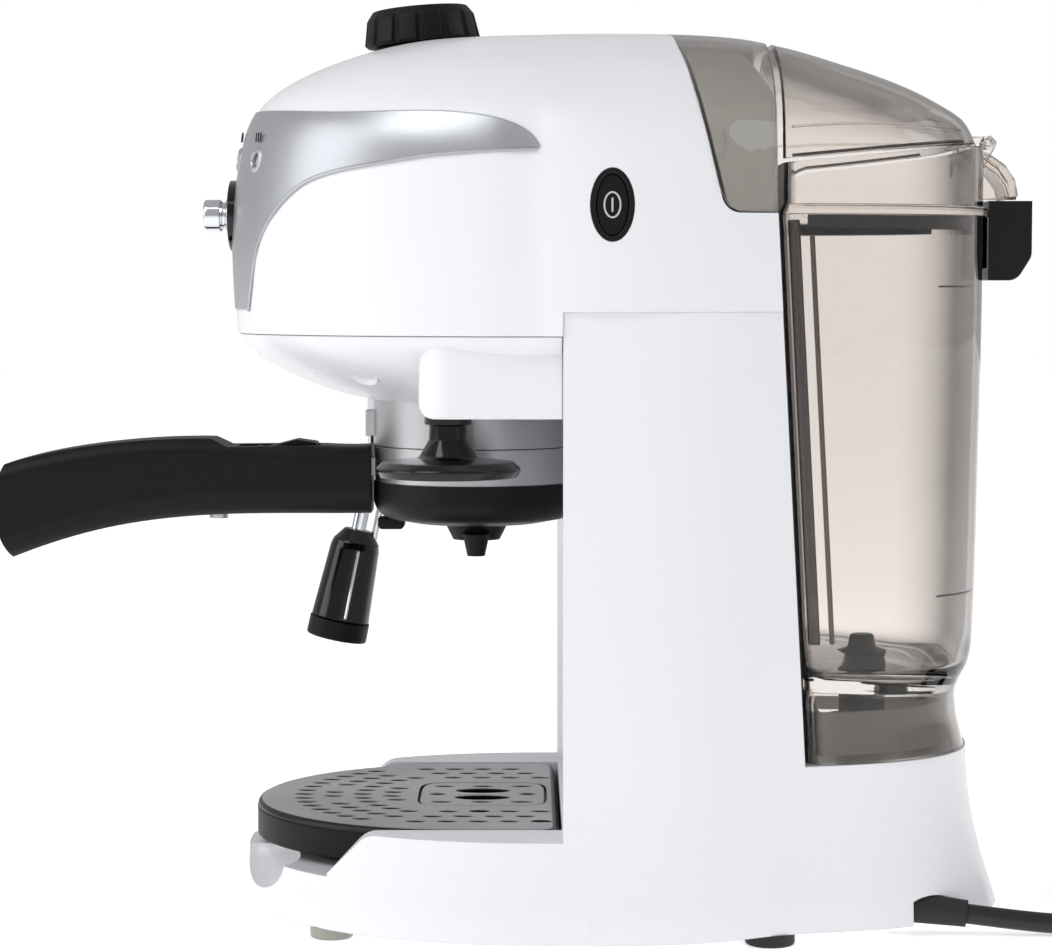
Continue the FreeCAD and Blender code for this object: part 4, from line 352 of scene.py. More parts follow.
def finish_mesh(name: str, made: bmesh.types.BMesh, finish: "Finish", sharp_degrees: float = CREASE_DEGREES,
                outward: bool = True) -> bpy.types.Object:
    """Turn a surface in millimetres into a smooth-shaded object in metres.

    Args:
        name: piece name.
        made: the surface; it is freed.
        finish: its material.
        sharp_degrees: edges steeper than this stay crisp.
        outward: recalculate the normals of a closed form.

    Returns:
        The linked object, at the origin.
    """
    bmesh.ops.remove_doubles(made, verts=made.verts, dist=1e-4)
    if outward:
        bmesh.ops.recalc_face_normals(made, faces=made.faces)
    bmesh.ops.scale(made, vec=(MM, MM, MM), verts=made.verts)
    mesh = bpy.data.meshes.new(name)
    made.to_mesh(mesh)
    made.free()
    mesh.shade_smooth()
    mesh.set_sharp_from_angle(angle=math.radians(sharp_degrees))
    mesh.materials.append(finish.material())
    piece = bpy.data.objects.new(name, mesh)
    bpy.context.scene.collection.objects.link(piece)
    return piece


def thicken(piece: bpy.types.Object, wall: float, edge: float = 0.5, segments: int = 2) -> None:
    """Give a sheet its wall, inwards, and round its edges.

    Args:
        piece: the sheet.
        wall: wall in millimetres.
        edge: edge radius in millimetres.
        segments: facets across each rounded edge.
    """
    solid = piece.modifiers.new("wall", "SOLIDIFY")
    solid.thickness = wall * MM
    solid.offset = -1.0
    solid.use_even_offset = True
    soften(piece, edge, segments)


def soften(piece: bpy.types.Object, edge: float, segments: int = 2, degrees: float = 40.0) -> None:
    """Round the crisp edges of a piece.

    Args:
        piece: the piece.
        edge: radius in millimetres.
        segments: facets across each rounded edge.
        degrees: only edges steeper than this are rounded.
    """
    bevel = piece.modifiers.new("edges", "BEVEL")
    bevel.width = edge * MM
    bevel.segments = segments
    bevel.limit_method = "ANGLE"
    bevel.angle_limit = math.radians(degrees)
    bevel.harden_normals = True


def settle(piece: bpy.types.Object, body: str, nodes: Sequence[str] = ()) -> bpy.types.Object:
    """Bake the modifiers, then tie a piece to its body and hide the CAD nodes it stands for.

    Args:
        piece: the finished piece.
        body: body that carries it.
        nodes: CAD nodes that it replaces.

    Returns:
        The same piece.
    """
    if piece.modifiers:
        graph = bpy.context.evaluated_depsgraph_get()
        baked = bpy.data.meshes.new_from_object(piece.evaluated_get(graph))
        piece.modifiers.clear()
        piece.data = baked
    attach(piece, body)
    if nodes:
        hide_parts(*nodes)
    log.info("%s made, %d faces", piece.name, len(piece.data.polygons))
    return piece


def drill(piece: bpy.types.Object, cutter: bpy.types.Object) -> None:
    """Cut a closed form out of a piece and drop the cutter.

    Args:
        piece: the piece; any modifiers it has are baked first.
        cutter: the closed form.
    """
    cut = piece.modifiers.new("bore", "BOOLEAN")
    cut.operation = "DIFFERENCE"
    cut.solver = "EXACT"
    cut.object = cutter
    graph = bpy.context.evaluated_depsgraph_get()
    mesh = bpy.data.meshes.new_from_object(piece.evaluated_get(graph))
    piece.modifiers.clear()
    piece.data = mesh
    bpy.data.objects.remove(cutter)


def merge(target: bmesh.types.BMesh, part: bmesh.types.BMesh) -> None:
    """Add one form to another and free it.

    Args:
        target: receives the faces.
        part: what is added.
    """
    spare = bpy.data.meshes.new("spare")
    part.to_mesh(spare)
    target.from_mesh(spare)
    part.free()
    bpy.data.meshes.remove(spare)


def keep_side(made: bmesh.types.BMesh, through: Point, away: Point) -> None:
    """Cut a surface by a plane and drop what lies beyond it.

    Args:
        made: the surface.
        through: a point of the plane.
        away: direction of the part that goes.
    """
    everything = list(made.verts) + list(made.edges) + list(made.faces)
    bmesh.ops.bisect_plane(made, geom=everything, dist=1e-5, plane_co=through, plane_no=Vector(away).normalized(),
                           clear_outer=True)


def slab(profile: Sequence[tuple[float, float]], x0: float, x1: float) -> bmesh.types.BMesh:
    """Return a solid with a side profile (y, z) between two widths.

    Args:
        profile: corners of the profile.
        x0: lower x.
        x1: upper x.
    """
    made = bmesh.new()
    low = [made.verts.new((x0, y, z)) for y, z in profile]
    high = [made.verts.new((x1, y, z)) for y, z in profile]
    made.faces.new(low)
    made.faces.new(high)
    for i in range(len(profile)):
        j = (i + 1) % len(profile)
        made.faces.new((low[i], low[j], high[j], high[i]))
    return made


def round_bar(path: Sequence[Point], radius: float, sides: int = 8) -> bmesh.types.BMesh:
    """Return a round bar along a path, closed at both ends.

    Args:
        path: points of its middle line.
        radius: bar radius.
        sides: facets round it.
    """
    spots = [Vector(point) for point in path]
    rings = []
    across = Vector((0, 0, 1))
    for i, spot in enumerate(spots):
        heading = (spots[min(i + 1, len(spots) - 1)] - spots[max(i - 1, 0)]).normalized()
        if abs(heading.dot(across)) > 0.95:
            across = Vector((0, 1, 0)) if abs(heading.y) < 0.9 else Vector((1, 0, 0))
        first = heading.cross(across).normalized()
        second = heading.cross(first).normalized()
        across = first.cross(heading)
        rings.append([spot + first * radius * math.cos(2 * math.pi * k / sides)
                      + second * radius * math.sin(2 * math.pi * k / sides) for k in range(sides)])
    return skin(rings, cap_start=True, cap_end=True)


def turned(profile: Sequence[tuple[float, float]], origin: Point, axis: Point, sides: int = 40) -> bmesh.types.BMesh:
    """Return a turned form: a profile of (radius, height) spun round an axis.

    Args:
        profile: rows of radius and height along the axis.
        origin: where height is nought.
        axis: direction of the axis.
        sides: facets round it.
    """
    up = Vector(axis).normalized()
    first = up.orthogonal().normalized()
    second = up.cross(first)
    rings = []
    for radius, height in profile:
        rings.append([Vector(origin) + up * height + (first * math.cos(2 * math.pi * k / sides)
                      + second * math.sin(2 * math.pi * k / sides)) * max(radius, 0.01) for k in range(sides)])
    return skin(rings, cap_start=True, cap_end=True)


def tube_form(bore: float, radius: float, low: float, high: float, origin: Point,
              axis: Point = (0, 0, 1)) -> bmesh.types.BMesh:
    """Return a plain tube.

    Args:
        bore: inner radius.
        radius: outer radius.
        low: where it starts along the axis.
        high: where it ends.
        origin: where height is nought.
        axis: direction of the axis.
    """
    up = Vector(axis).normalized()
    first = up.orthogonal().normalized()
    second = up.cross(first)
    rings = []
    for out, height in ((bore, low), (radius, low), (radius, high), (bore, high), (bore, low)):
        rings.append([Vector(origin) + up * height + (first * math.cos(2 * math.pi * k / 32)
                      + second * math.sin(2 * math.pi * k / 32)) * out for k in range(32)])
    return skin(rings)


@dataclass
class Envelope:
    """Outer form of the head: rounded nose, straight cheeks drawn in behind, squarer tail."""

    rows: tuple[tuple[float, ...], ...] = (
        (194.5, -92.5, 87.6, 157.0, 10.0), (212.0, -93.5, 88.0, 157.0, 10.0), (235.0, -93.5, 88.0, 157.5, 10.0),
        (250.0, -91.5, 87.4, 156.0, 10.0), (263.5, -88.0, 84.0, 151.0, 10.0), (270.0, -84.0, 79.5, 142.0, 10.0),
        (276.5, -76.0, 72.5, 129.0, 10.0), (283.7, -61.0, 60.0, 109.0, 10.0), (288.5, -46.5, 48.0, 94.0, 10.0),
        (292.0, -27.5, 33.0, 78.0, 18.0), (294.0, 4.5, 14.0, 56.0, 30.0),
    )
    waist: float = 0.14
    waist_from: float = 50.0
    waist_over: float = 46.0
    squareness: float = 3.4
    bluntness: float = 2.1

    def __post_init__(self) -> None:
        """Lay smooth curves through the rows."""
        places = [0.0]
        for before, after in zip(self.rows, self.rows[1:]):
            places.append(places[-1] + math.hypot(after[0] - before[0], after[2] - before[2]))
        self.reach = places[-1]
        self.curves = [monotone(places, [row[k] for row in self.rows]) for k in range(5)]

    def narrowing(self, y: float) -> float:
        """Return how much the cheeks are drawn in at a depth."""
        share = min(max((y - self.waist_from) / self.waist_over, 0.0), 1.0)
        return 1 - self.waist * share * share * (3 - 2 * share)

    def ring(self, place: float, columns: int) -> Row:
        """Return one level of the form.

        Args:
            place: distance up the form, from nought to its reach.
            columns: number of points.
        """
        z, front, half, rear, centre = (curve(place) for curve in self.curves)
        points = []
        for i in range(columns):
            turn = 2 * math.pi * (i + 0.5) / columns
            back = math.sin(turn) >= 0
            n, span = (self.squareness, rear - centre) if back else (self.bluntness, centre - front)
            x = half * math.copysign(abs(math.cos(turn)) ** (2 / n), math.cos(turn))
            y = centre + span * math.copysign(abs(math.sin(turn)) ** (2 / n), math.sin(turn))
            points.append(Vector((x * self.narrowing(y), y, z)))
        return points

    def sheet(self, columns: int = 224, rows: int = 64) -> bmesh.types.BMesh:
        """Return the whole outer form as one surface, closed over the crown."""
        return skin([self.ring(self.reach * i / (rows - 1), columns) for i in range(rows)], cap_end=True)

    def side_x(self, y: float, z: float) -> float:
        """Return the half width at a depth and height."""
        low, high = 0.0, self.reach
        for _ in range(30):
            middle = (low + high) / 2
            low, high = (middle, high) if self.curves[0](middle) < z else (low, middle)
        _, front, half, rear, centre = (curve(low) for curve in self.curves)
        n, span = (self.squareness, rear - centre) if y >= centre else (self.bluntness, centre - front)
        inside = max(0.0, 1 - abs((y - centre) / span) ** n)
        return half * inside ** (1 / n) * self.narrowing(y)

    def front_y(self, x: float, z: float) -> float:
        """Return the depth of the nose at a width and height."""
        low, high = 0.0, self.reach
        for _ in range(30):
            middle = (low + high) / 2
            low, high = (middle, high) if self.curves[0](middle) < z else (low, middle)
        _, front, half, _, centre = (curve(low) for curve in self.curves)
        n = self.bluntness
        return centre - (centre - front) * max(0.0, 1 - abs(x / half) ** n) ** (1 / n)


@dataclass
class WaterTank:
    """Smoked tank, its lid, its rear ledge and the accessory cover."""

    envelope: Envelope
    wall: float = 2.2
    rim_slope: float = 0.1
    band_z: float = 233.0
    front_low_y: float = 94.5
    front_high_y: float = 84.6
    collar_front_y: float = 86.3
    floor_z: float = 83.0
    corner: float = 7.0
    outlet: Point = (0.0, 120.0, 0.0)
    spigot_radius: float = 8.0
    valve_bore: float = 5.0
    hinge_line: tuple[float, float] = (158.0, 257.5)
    rear_rows: tuple[tuple[float, float], ...] = (
        (57.0, 152.4), (62.0, 151.2), (71.0, 149.4), (75.0, 149.2), (79.5, 150.4), (86.0, 153.6), (92.0, 154.6),
        (150.0, 156.0), (222.0, 157.0), (257.0, 157.0))
    half_rows: tuple[tuple[float, float], ...] = (
        (57.0, 85.0), (75.0, 85.0), (86.0, 86.8), (92.0, 87.4), (150.0, 88.0), (257.0, 88.0))

    def __post_init__(self) -> None:
        """Lay smooth curves through the rear and side rows."""
        self.rear = monotone(*zip(*self.rear_rows))
        self.half = monotone(*zip(*self.half_rows))

    def front(self, z: float) -> float:
        """Return where the slanted front wall stands at a height."""
        if z > self.band_z + 3:
            return self.collar_front_y
        share = min(max((self.band_z - z) / (self.band_z - 57.0), 0.0), 1.0)
        return self.front_high_y + (self.front_low_y - self.front_high_y) * share

    def ring(self, z: float, inset: float, lift: float = 0.0) -> Row:
        """Return the tank's outline at a height.

        Args:
            z: height.
            inset: distance inside the outer face.
            lift: slope of the ring, falling to the rear.
        """
        form = self.envelope
        centre, n = 10.0, form.squareness
        half, rear = self.half(z) - inset, self.rear(z) - inset
        front = self.front(z) + inset
        radius = max(self.corner - inset, 1.0)
        span = rear - centre
        begin = front + radius
        wide = half * (1 - ((begin - centre) / span) ** n) ** (1 / n) * form.narrowing(begin)
        right = [((wide - radius) * k / 6, front) for k in range(7)]
        for k in range(1, 6):
            turn = math.pi / 2 * k / 6
            right.append((wide - radius + radius * math.sin(turn), begin - radius * math.cos(turn)))
        start = math.asin(((begin - centre) / span) ** (n / 2))
        for k in range(41):
            turn = start + (math.pi / 2 - start) * k / 40
            y = centre + span * math.sin(turn) ** (2 / n)
            right.append((half * max(math.cos(turn), 0.0) ** (2 / n) * form.narrowing(y), y))
        loop = right + [(-x, y) for x, y in reversed(right[1:-1])]
        return [Vector((x, y, z + lift * (120.0 - y))) for x, y in loop]

    def rim_lift(self, z: float) -> float:
        """Return how steeply the collar's ring at a height rises to the rear."""
        return -self.rim_slope * min(max((z - 237.0) / 15.4, 0.0), 1.0)

    def shell(self) -> None:
        """Make the tank itself: walls, sloping floor and open skirt in one moulding."""
        heights = [57.4, 60, 63, 66, 69, 72, 75, 77, 79, 81, 83, 85, 87, 89, 92, 96, 104, 115, 130, 150, 170, 190, 205,
                   218, 227, 231, 233, 236.5, 240, 243, 246, 249, 251, 252.4]
        outside = [self.ring(z, 0.0, self.rim_lift(z)) for z in heights]
        inside = [self.ring(z, self.wall, self.rim_lift(z)) for z in reversed(heights) if z > 92]
        rings = [self.ring(79.0, self.wall + 0.6, 0.075)]
        rings += [self.ring(z, self.wall) for z in (76, 70, 64)]
        rings += [self.ring(57.4, self.wall - 0.4)] + outside + inside
        rings += [self.ring(88.5, self.wall + 0.3, 0.02), self.ring(85.0, self.wall + 1.6, 0.05),
                  self.ring(self.floor_z, self.wall + 5.5, 0.075)]
        made = skin(rings, cap_start=True, cap_end=True)
        piece = finish_mesh("tank_shell", made, SMOKED_SAN, sharp_degrees=50)
        bore, deep = self.valve_bore, 95.0
        cutter = turned([(bore, 60.0), (bore, deep)], self.outlet, (0, 0, 1))
        drill(piece, finish_mesh("bore_cutter", cutter, SMOKED_SAN))
        piece.data.set_sharp_from_angle(angle=math.radians(50))
        settle(piece, "tank", ["water_tank"])

    def spigot(self) -> None:
        """Make the outlet spigot under the floor, bored for the valve."""
        made = tube_form(self.valve_bore, self.spigot_radius, 58.6, 79.6, self.outlet)
        settle(finish_mesh("tank_outlet_spigot", made, SMOKED_THICK_AND_SHADED), "tank")

    def hinge(self) -> None:
        """Make the hinge: ears and pins on the tank, barrels on the lid."""
        y, z = self.hinge_line
        ears, barrels = bmesh.new(), bmesh.new()
        for side in (-1, 1):
            near, far = sorted((side * 22.0, side * 26.0))
            merge(ears, slab([(y - 2.8, z - 9.8), (y + 2.0, z - 1.0), (y + 2.2, z), (y, z + 2.2), (y - 2.0, z + 0.6),
                              (y - 2.8, z - 1.2)], near, far))
            merge(ears, turned([(1.2, 16.2), (1.2, 22.4)], (0, y, z), (side, 0, 0), 24))
            merge(barrels, tube_form(1.25, 2.2, 16.0, 21.7, (0, y, z), (side, 0, 0)))
            near, far = sorted((side * 16.0, side * 21.7))
            merge(barrels, slab([(y - 6.4, z - 0.2), (y - 1.7, z - 0.2), (y - 1.5, z + 1.6), (y - 1.0, z + 2.0),
                                 (y - 6.4, z + 2.0)], near, far))
        settle(finish_mesh("tank_hinge_ears", ears, SMOKED_SAN), "tank")
        settle(finish_mesh("tank_lid_barrels", barrels, SMOKED_SAN), "lid")

    def band(self) -> None:
        """Make the flange round the tank's shoulder and the dark line under it."""
        rings = []
        for inset, z in ((-0.1, 232.6), (-1.5, 233.0), (-1.8, 234.4), (-1.5, 235.8), (-0.1, 236.2)):
            rings.append(self.ring(z, inset))
        made = skin(rings)
        keep_side(made, (0, self.collar_front_y + 1.2, 0), (0, -1, 0))
        piece = finish_mesh("tank_shoulder_flange", made, SMOKED_SAN, outward=False)
        settle(piece, "tank")
        rings = [self.ring(z, inset) for inset, z in ((2.3, 228.2), (3.5, 228.4), (3.5, 232.4), (2.3, 232.6))]
        made = skin(rings)
        keep_side(made, (0, self.front_high_y + 9, 0), (0, -1, 0))
        keep_side(made, (0, 149.0, 0), (0, 1, 0))
        piece = finish_mesh("tank_inner_rim", made, BLACK_GLOSS, outward=False)
        settle(piece, "tank")

    def rails(self) -> None:
        """Make the two ribs inside each front corner."""
        made = bmesh.new()
        for side in (-1, 1):
            for offset, deep, tall in ((3.0, 3.4, 231.0), (9.4, 1.5, 226.0)):
                low, high = 96.0, tall
                rows = []
                for k in range(9):
                    z = low + (high - low) * k / 8
                    y = self.front(z) + offset
                    span = self.rear(z) - 10
                    x = self.half(z) * (1 - ((y - 10) / span) ** 3.4) ** (1 / 3.4) * self.envelope.narrowing(y) - 2.3
                    rows.append([Vector((side * x, y, z)), Vector((side * x, y + deep, z)),
                                 Vector((side * (x - 2.4), y + deep, z)), Vector((side * (x - 2.4), y, z))])
                merge(made, skin(rows, cap_start=True, cap_end=True))
        # Painted shade: the ribs are made in the darkened stock to stand in for the dark band that the front wall seen
        # edge on and the shadowed gap behind it give.
        piece = finish_mesh("tank_corner_ribs", made, SMOKED_THICK_AND_SHADED)
        soften(piece, 0.4)
        settle(piece, "tank")

    def skirt_liner(self) -> None:
        """Make the frosted wall inside the skirt."""
        rings = [self.ring(z, self.wall + 2.2) for z in (59.5, 62, 66, 70, 73.5)]
        rings += [self.ring(z, self.wall + 3.6) for z in (73.5, 66, 59.5)]
        rings.append(rings[0])
        made = skin(rings)
        piece = finish_mesh("tank_skirt_liner", made, SMOKED_FROST)
        settle(piece, "tank")

    def ledge(self) -> None:
        """Make the hooked clear ledge over the grip."""
        profile = [(154.5, 256.0), (160.0, 254.0), (165.0, 250.6), (168.4, 245.6), (169.5, 240.0), (166.4, 239.6),
                   (165.2, 243.6), (162.2, 247.6), (158.0, 250.4), (154.5, 251.6)]
        made = slab(profile, -14.0, 14.0)
        cheek = [(156.2, 238.9), (169.2, 238.9), (168.6, 244.8), (166.0, 249.4), (161.0, 253.0), (156.2, 254.8)]
        for x in (-12.6, 11.4):
            merge(made, slab(cheek, x, x + 1.2))
        piece = finish_mesh("tank_ledge", made, SMOKED_SAN, sharp_degrees=30)
        soften(piece, 0.8, 3)
        settle(piece, "tank")

    def lid(self) -> None:
        """Make the domed lid with its rolled rim."""
        made = self.envelope.sheet()
        keep_side(made, (0, 86.4, 0), (0, -1, 0))
        keep_side(made, (0, 86.4, 250.2), (0, 0.1, -1))
        piece = finish_mesh("tank_lid_dome", made, SMOKED_SAN, outward=False)
        thicken(piece, self.wall, 0.7, 3)
        settle(piece, "lid", ["tank_lid"])
        # Painted shade: the bar along the lid's lower edge is darkened stock standing in for the dark line of the rim
        # seen end on; the crease bar is plain clear stock.
        lines = (("tank_lid_edge", SMOKED_THICK_AND_SHADED, 0.0, 0.5), ("tank_lid_crease", SMOKED_SAN, 9.0, 0.4))
        for name, finish, lift, radius in lines:
            made = bmesh.new()
            for side in (-1, 1):
                path = []
                for k in range(41):
                    y = 88.5 + (146.0 - 88.5) * k / 40
                    z = 250.9 + 0.1 * (y - 86.4) + lift * (1 - 0.6 * (k / 40) ** 2)
                    path.append((side * (self.envelope.side_x(y, z) - 0.1), y, z))
                merge(made, round_bar(path, radius, 8))
            settle(finish_mesh(name, made, finish), "lid")

    def cover(self) -> None:
        """Make the clear cover over the accessory tray."""
        made = self.envelope.sheet()
        keep_side(made, (0, 83.7, 0), (0, 1, 0))
        keep_side(made, (0, 0, 233.3), (0, 0, -1))
        keep_side(made, (0, 51.9, 294.0), (0, -61.0, -15.1))
        for y, z, toward in ((66.6, 237.5, 0.45), (68.2, 235.0, 0.9), (70.8, 233.7, 2.2)):
            keep_side(made, (0, y, z), (0, -1, -toward))
        piece = finish_mesh("accessory_cover_shell", made, SMOKED_SAN, outward=False)
        thicken(piece, self.wall, 0.6, 3)
        settle(piece, "cover", ["accessory_cover"])

    def build(self) -> None:
        """Make every clear piece in order."""
        self.shell()
        self.spigot()
        self.hinge()
        self.band()
        self.rails()
        self.skirt_liner()
        self.ledge()
        self.lid()
        self.cover()


def make_tree(name: str, inputs: Sequence[tuple[str, str, float]]
              ) -> tuple[bpy.types.NodeTree, bpy.types.Node, dict[str, str]]:
    """Start a Geometry Nodes tree with named inputs.

    Args:
        name: name of the tree.
        inputs: name, socket kind and default of each size.

    Returns:
        The tree, its input node and the identifier of each named input.
    """
    tree = bpy.data.node_groups.new(name, "GeometryNodeTree")
    tree.interface.new_socket("Geometry", in_out="INPUT", socket_type="NodeSocketGeometry")
    tree.interface.new_socket("Geometry", in_out="OUTPUT", socket_type="NodeSocketGeometry")
    for label, kind, start in inputs:
        socket = tree.interface.new_socket(label, in_out="INPUT", socket_type=kind)
        if kind in ("NodeSocketFloat", "NodeSocketInt"):
            socket.default_value = start
    known = {item.name: item.identifier for item in tree.interface.items_tree if item.in_out == "INPUT"}
    return tree, add_node(tree, "NodeGroupInput"), known


def end_tree(tree: bpy.types.NodeTree, result: bpy.types.NodeSocket, finish: "Finish") -> None:
    """Close a tree: realise what it placed and give it its material.

    Args:
        tree: the tree.
        result: socket that holds the geometry.
        finish: material of the result.
    """
    real = add_node(tree, "GeometryNodeRealizeInstances", {}, {"Geometry": result})
    dressed = add_node(tree, "GeometryNodeSetMaterial", {"Material": finish.material()}, {"Geometry": real.outputs[0]})
    add_node(tree, "NodeGroupOutput", {}, {"Geometry": dressed.outputs[0]})


def run_tree(piece: bpy.types.Object, tree: bpy.types.NodeTree, known: dict[str, str], values: dict) -> None:
    """Run a tree on a piece and keep the result as its plain mesh.

    Args:
        piece: the piece.
        tree: the tree.
        known: identifier of each named input.
        values: value of each named input.
    """
    modifier = piece.modifiers.new(tree.name, "NODES")
    modifier.node_group = tree
    for label, value in values.items():
        modifier[known[label]] = value
    graph = bpy.context.evaluated_depsgraph_get()
    mesh = bpy.data.meshes.new_from_object(piece.evaluated_get(graph))
    piece.modifiers.clear()
    piece.data = mesh
    mesh.shade_smooth()
    mesh.set_sharp_from_angle(angle=math.radians(CREASE_DEGREES))


@dataclass
class DripGrill:
    """Silver-wiped drip grill and its lift-out cup stand, both pierced."""

    half_width: float = 65.8
    centre_y: float = -15.0
    front_reach: float = 71.8
    rear_y: float = 14.8
    top_z: float = 36.0
    thickness: float = 2.55
    stand_half: float = 21.5
    stand_y: float = -10.0
    hole_half_length: float = 3.5
    hole_half_width: float = 1.95
    arc_radii: tuple[float, ...] = (59.5, 49.5, 39.5, 29.5)
    arc_pitch: float = 7.6

    def outline(self, inset: float, z: float) -> Row:
        """Return the D-shaped outline of the plate.

        Args:
            inset: distance inside the edge.
            z: height.
        """
        half, reach, rear = self.half_width - inset, self.front_reach - inset, self.rear_y - inset
        nose = [Vector((half * math.cos(math.pi * k / 56), self.centre_y - reach * math.sin(math.pi * k / 56), z))
                for k in range(57)]
        back = [(-half, self.centre_y + 8), (-half, rear - 6), (-half + 0.8, rear - 2.4), (-half + 2.6, rear - 0.6),
                (-half + 6, rear), (-20, rear), (0, rear), (20, rear), (half - 6, rear), (half - 2.6, rear - 0.6),
                (half - 0.8, rear - 2.4), (half, rear - 6), (half, self.centre_y + 8)]
        return nose + [Vector((x, y, z)) for x, y in back]

    def stand_outline(self, grow: float, z: float) -> Row:
        """Return the cup stand's outline: a rounded square with bowed sides.

        Args:
            grow: distance outside the stand's edge.
            z: height.
        """
        half = self.stand_half + grow
        points = []
        for k in range(64):
            turn = 2 * math.pi * (k + 0.5) / 64
            x = half * math.copysign(abs(math.cos(turn)) ** (2 / 5.5), math.cos(turn))
            y = half * math.copysign(abs(math.sin(turn)) ** (2 / 7.0), math.sin(turn))
            points.append(Vector((x * 1.04, self.stand_y + y, z)))
        return points

    def drain_places(self) -> list[tuple[Point, Point]]:
        """Return the small holes: bowed rows in front, straggered rows along the sides."""
        holes = []
        size = (self.hole_half_width, self.hole_half_length, 1.0)
        for row, radius in enumerate(self.arc_radii):
            count = int(radius * math.radians(58) / self.arc_pitch)
            shift = 0.5 if row % 2 else 0.0
            for i in range(-count, count + 1):
                turn = (i + shift) * self.arc_pitch / radius
                x, y = radius * math.sin(turn), self.stand_y - 1.5 - radius * math.cos(turn)
                holes.append(((x, y, self.top_z), size))
        for side in (-1, 1):
            for column, x in enumerate((33.0, 42.0, 51.0)):
                for k in range(5 if column != 1 else 4):
                    y = -31.0 + 10.2 * k + (5.1 if column == 1 else 0.0)
                    holes.append(((side * x, y, self.top_z), size))
        stand = self.stand_half + 5.5
        clear = []
        for place, scale in holes:
            x, y = place[0], place[1]
            inside = abs(x) < stand and abs(y - self.stand_y) < stand
            edge = (x / (self.half_width - 7)) ** 2 + (min(y - self.centre_y, 0) / (self.front_reach - 8)) ** 2 > 1
            crowd = any(math.hypot((x - a[0]) / 5.2, (y - a[1]) / 8.4) < 1 for a, _ in clear)
            if not inside and not edge and not crowd and y < self.rear_y - 5:
                clear.append((place, scale))
        return clear

    def stand_places(self) -> list[tuple[Point, Point]]:
        """Return the stand's two large holes and eight small ones."""
        y, z = self.stand_y, self.top_z
        holes = [((side * 6.6, y, z), (5.0, 9.6, 1.0)) for side in (-1, 1)]
        holes += [((side * 15.2, y + step, z), (1.9, 3.9, 1.0)) for side in (-1, 1) for step in (-13.5, 0.0, 13.5)]
        holes += [((0.0, y + step, z), (2.3, 2.9, 1.0)) for step in (-15.4, 15.4)]
        return holes

    def pierce(self, piece: bpy.types.Object, holes: list[tuple[Point, Point]]) -> None:
        """Cut oval holes through a plate with a node tree.

        Args:
            piece: the plate.
            holes: middle and half sizes of each hole, in millimetres.
        """
        spots = bpy.data.meshes.new("hole_spots")
        spots.from_pydata([[c * MM for c in place] for place, _ in holes], [], [])
        sizes = spots.attributes.new("hole_size", "FLOAT_VECTOR", "POINT")
        sizes.data.foreach_set("vector", [value for _, size in holes for value in size])
        marker = bpy.data.objects.new("hole_spots", spots)
        bpy.context.scene.collection.objects.link(marker)
        tree, given, known = make_tree("pierced_plate", [("Hole places", "NodeSocketObject", 0),
                                                         ("Unit", "NodeSocketFloat", MM),
                                                         ("Depth", "NodeSocketFloat", 0.01)])
        source = add_node(tree, "GeometryNodeObjectInfo", {}, {"Object": given.outputs["Hole places"]})
        punch = add_node(tree, "GeometryNodeMeshCylinder", {"Vertices": 18}, {"Radius": given.outputs["Unit"],
                                                                            "Depth": given.outputs["Depth"]})
        size = add_node(tree, "GeometryNodeInputNamedAttribute", {"data_type": "FLOAT_VECTOR", "Name": "hole_size"})
        placed = add_node(tree, "GeometryNodeInstanceOnPoints", {},
                          {"Points": source.outputs["Geometry"], "Instance": punch.outputs["Mesh"],
                           "Scale": size.outputs["Attribute"]})
        tools = add_node(tree, "GeometryNodeRealizeInstances", {}, {"Geometry": placed.outputs["Instances"]})
        cut = add_node(tree, "GeometryNodeMeshBoolean", {"operation": "DIFFERENCE"},
                       {"Mesh 1": given.outputs["Geometry"], "Mesh 2": tools.outputs["Geometry"]})
        end_tree(tree, cut.outputs["Mesh"], GRILL_SILVERED)
        run_tree(piece, tree, known, {"Hole places": marker, "Unit": MM, "Depth": 0.012})
        bpy.data.objects.remove(marker)

    def build(self) -> None:
        """Make the plate, then the stand in its recess."""
        low = self.top_z - self.thickness
        top = self.top_z
        levels = ((1.2, low), (0.0, low), (0.0, top - 1.5), (0.5, top - 0.7), (1.5, top - 0.2), (3.2, top))
        rings = [self.outline(inset, z) for inset, z in levels]
        piece = finish_mesh("drip_grill_plate", skin(rings, cap_start=True, cap_end=True), GRILL_SILVERED)
        well = [self.stand_outline(0.5, low + 1.0), self.stand_outline(0.5, top + 2)]
        drill(piece, finish_mesh("cutter", skin(well, cap_start=True, cap_end=True), GRILL_SILVERED))
        through = [self.stand_outline(-2.5, low - 2), self.stand_outline(-2.5, top + 2)]
        drill(piece, finish_mesh("cutter", skin(through, cap_start=True, cap_end=True), GRILL_SILVERED))
        self.pierce(piece, self.drain_places())
        soften(piece, 0.35, 2)
        settle(piece, "grill", ["drip_grill"])
        levels = ((-0.6, low + 1.3), (0.0, low + 1.6), (0.0, top - 0.7), (-0.8, top))
        rings = [self.stand_outline(grow, z) for grow, z in levels]
        stand = finish_mesh("cup_stand_plate", skin(rings, cap_start=True, cap_end=True), GRILL_SILVERED)
        self.pierce(stand, self.stand_places())
        soften(stand, 0.3, 2)
        settle(stand, "stand", ["cup_stand"])


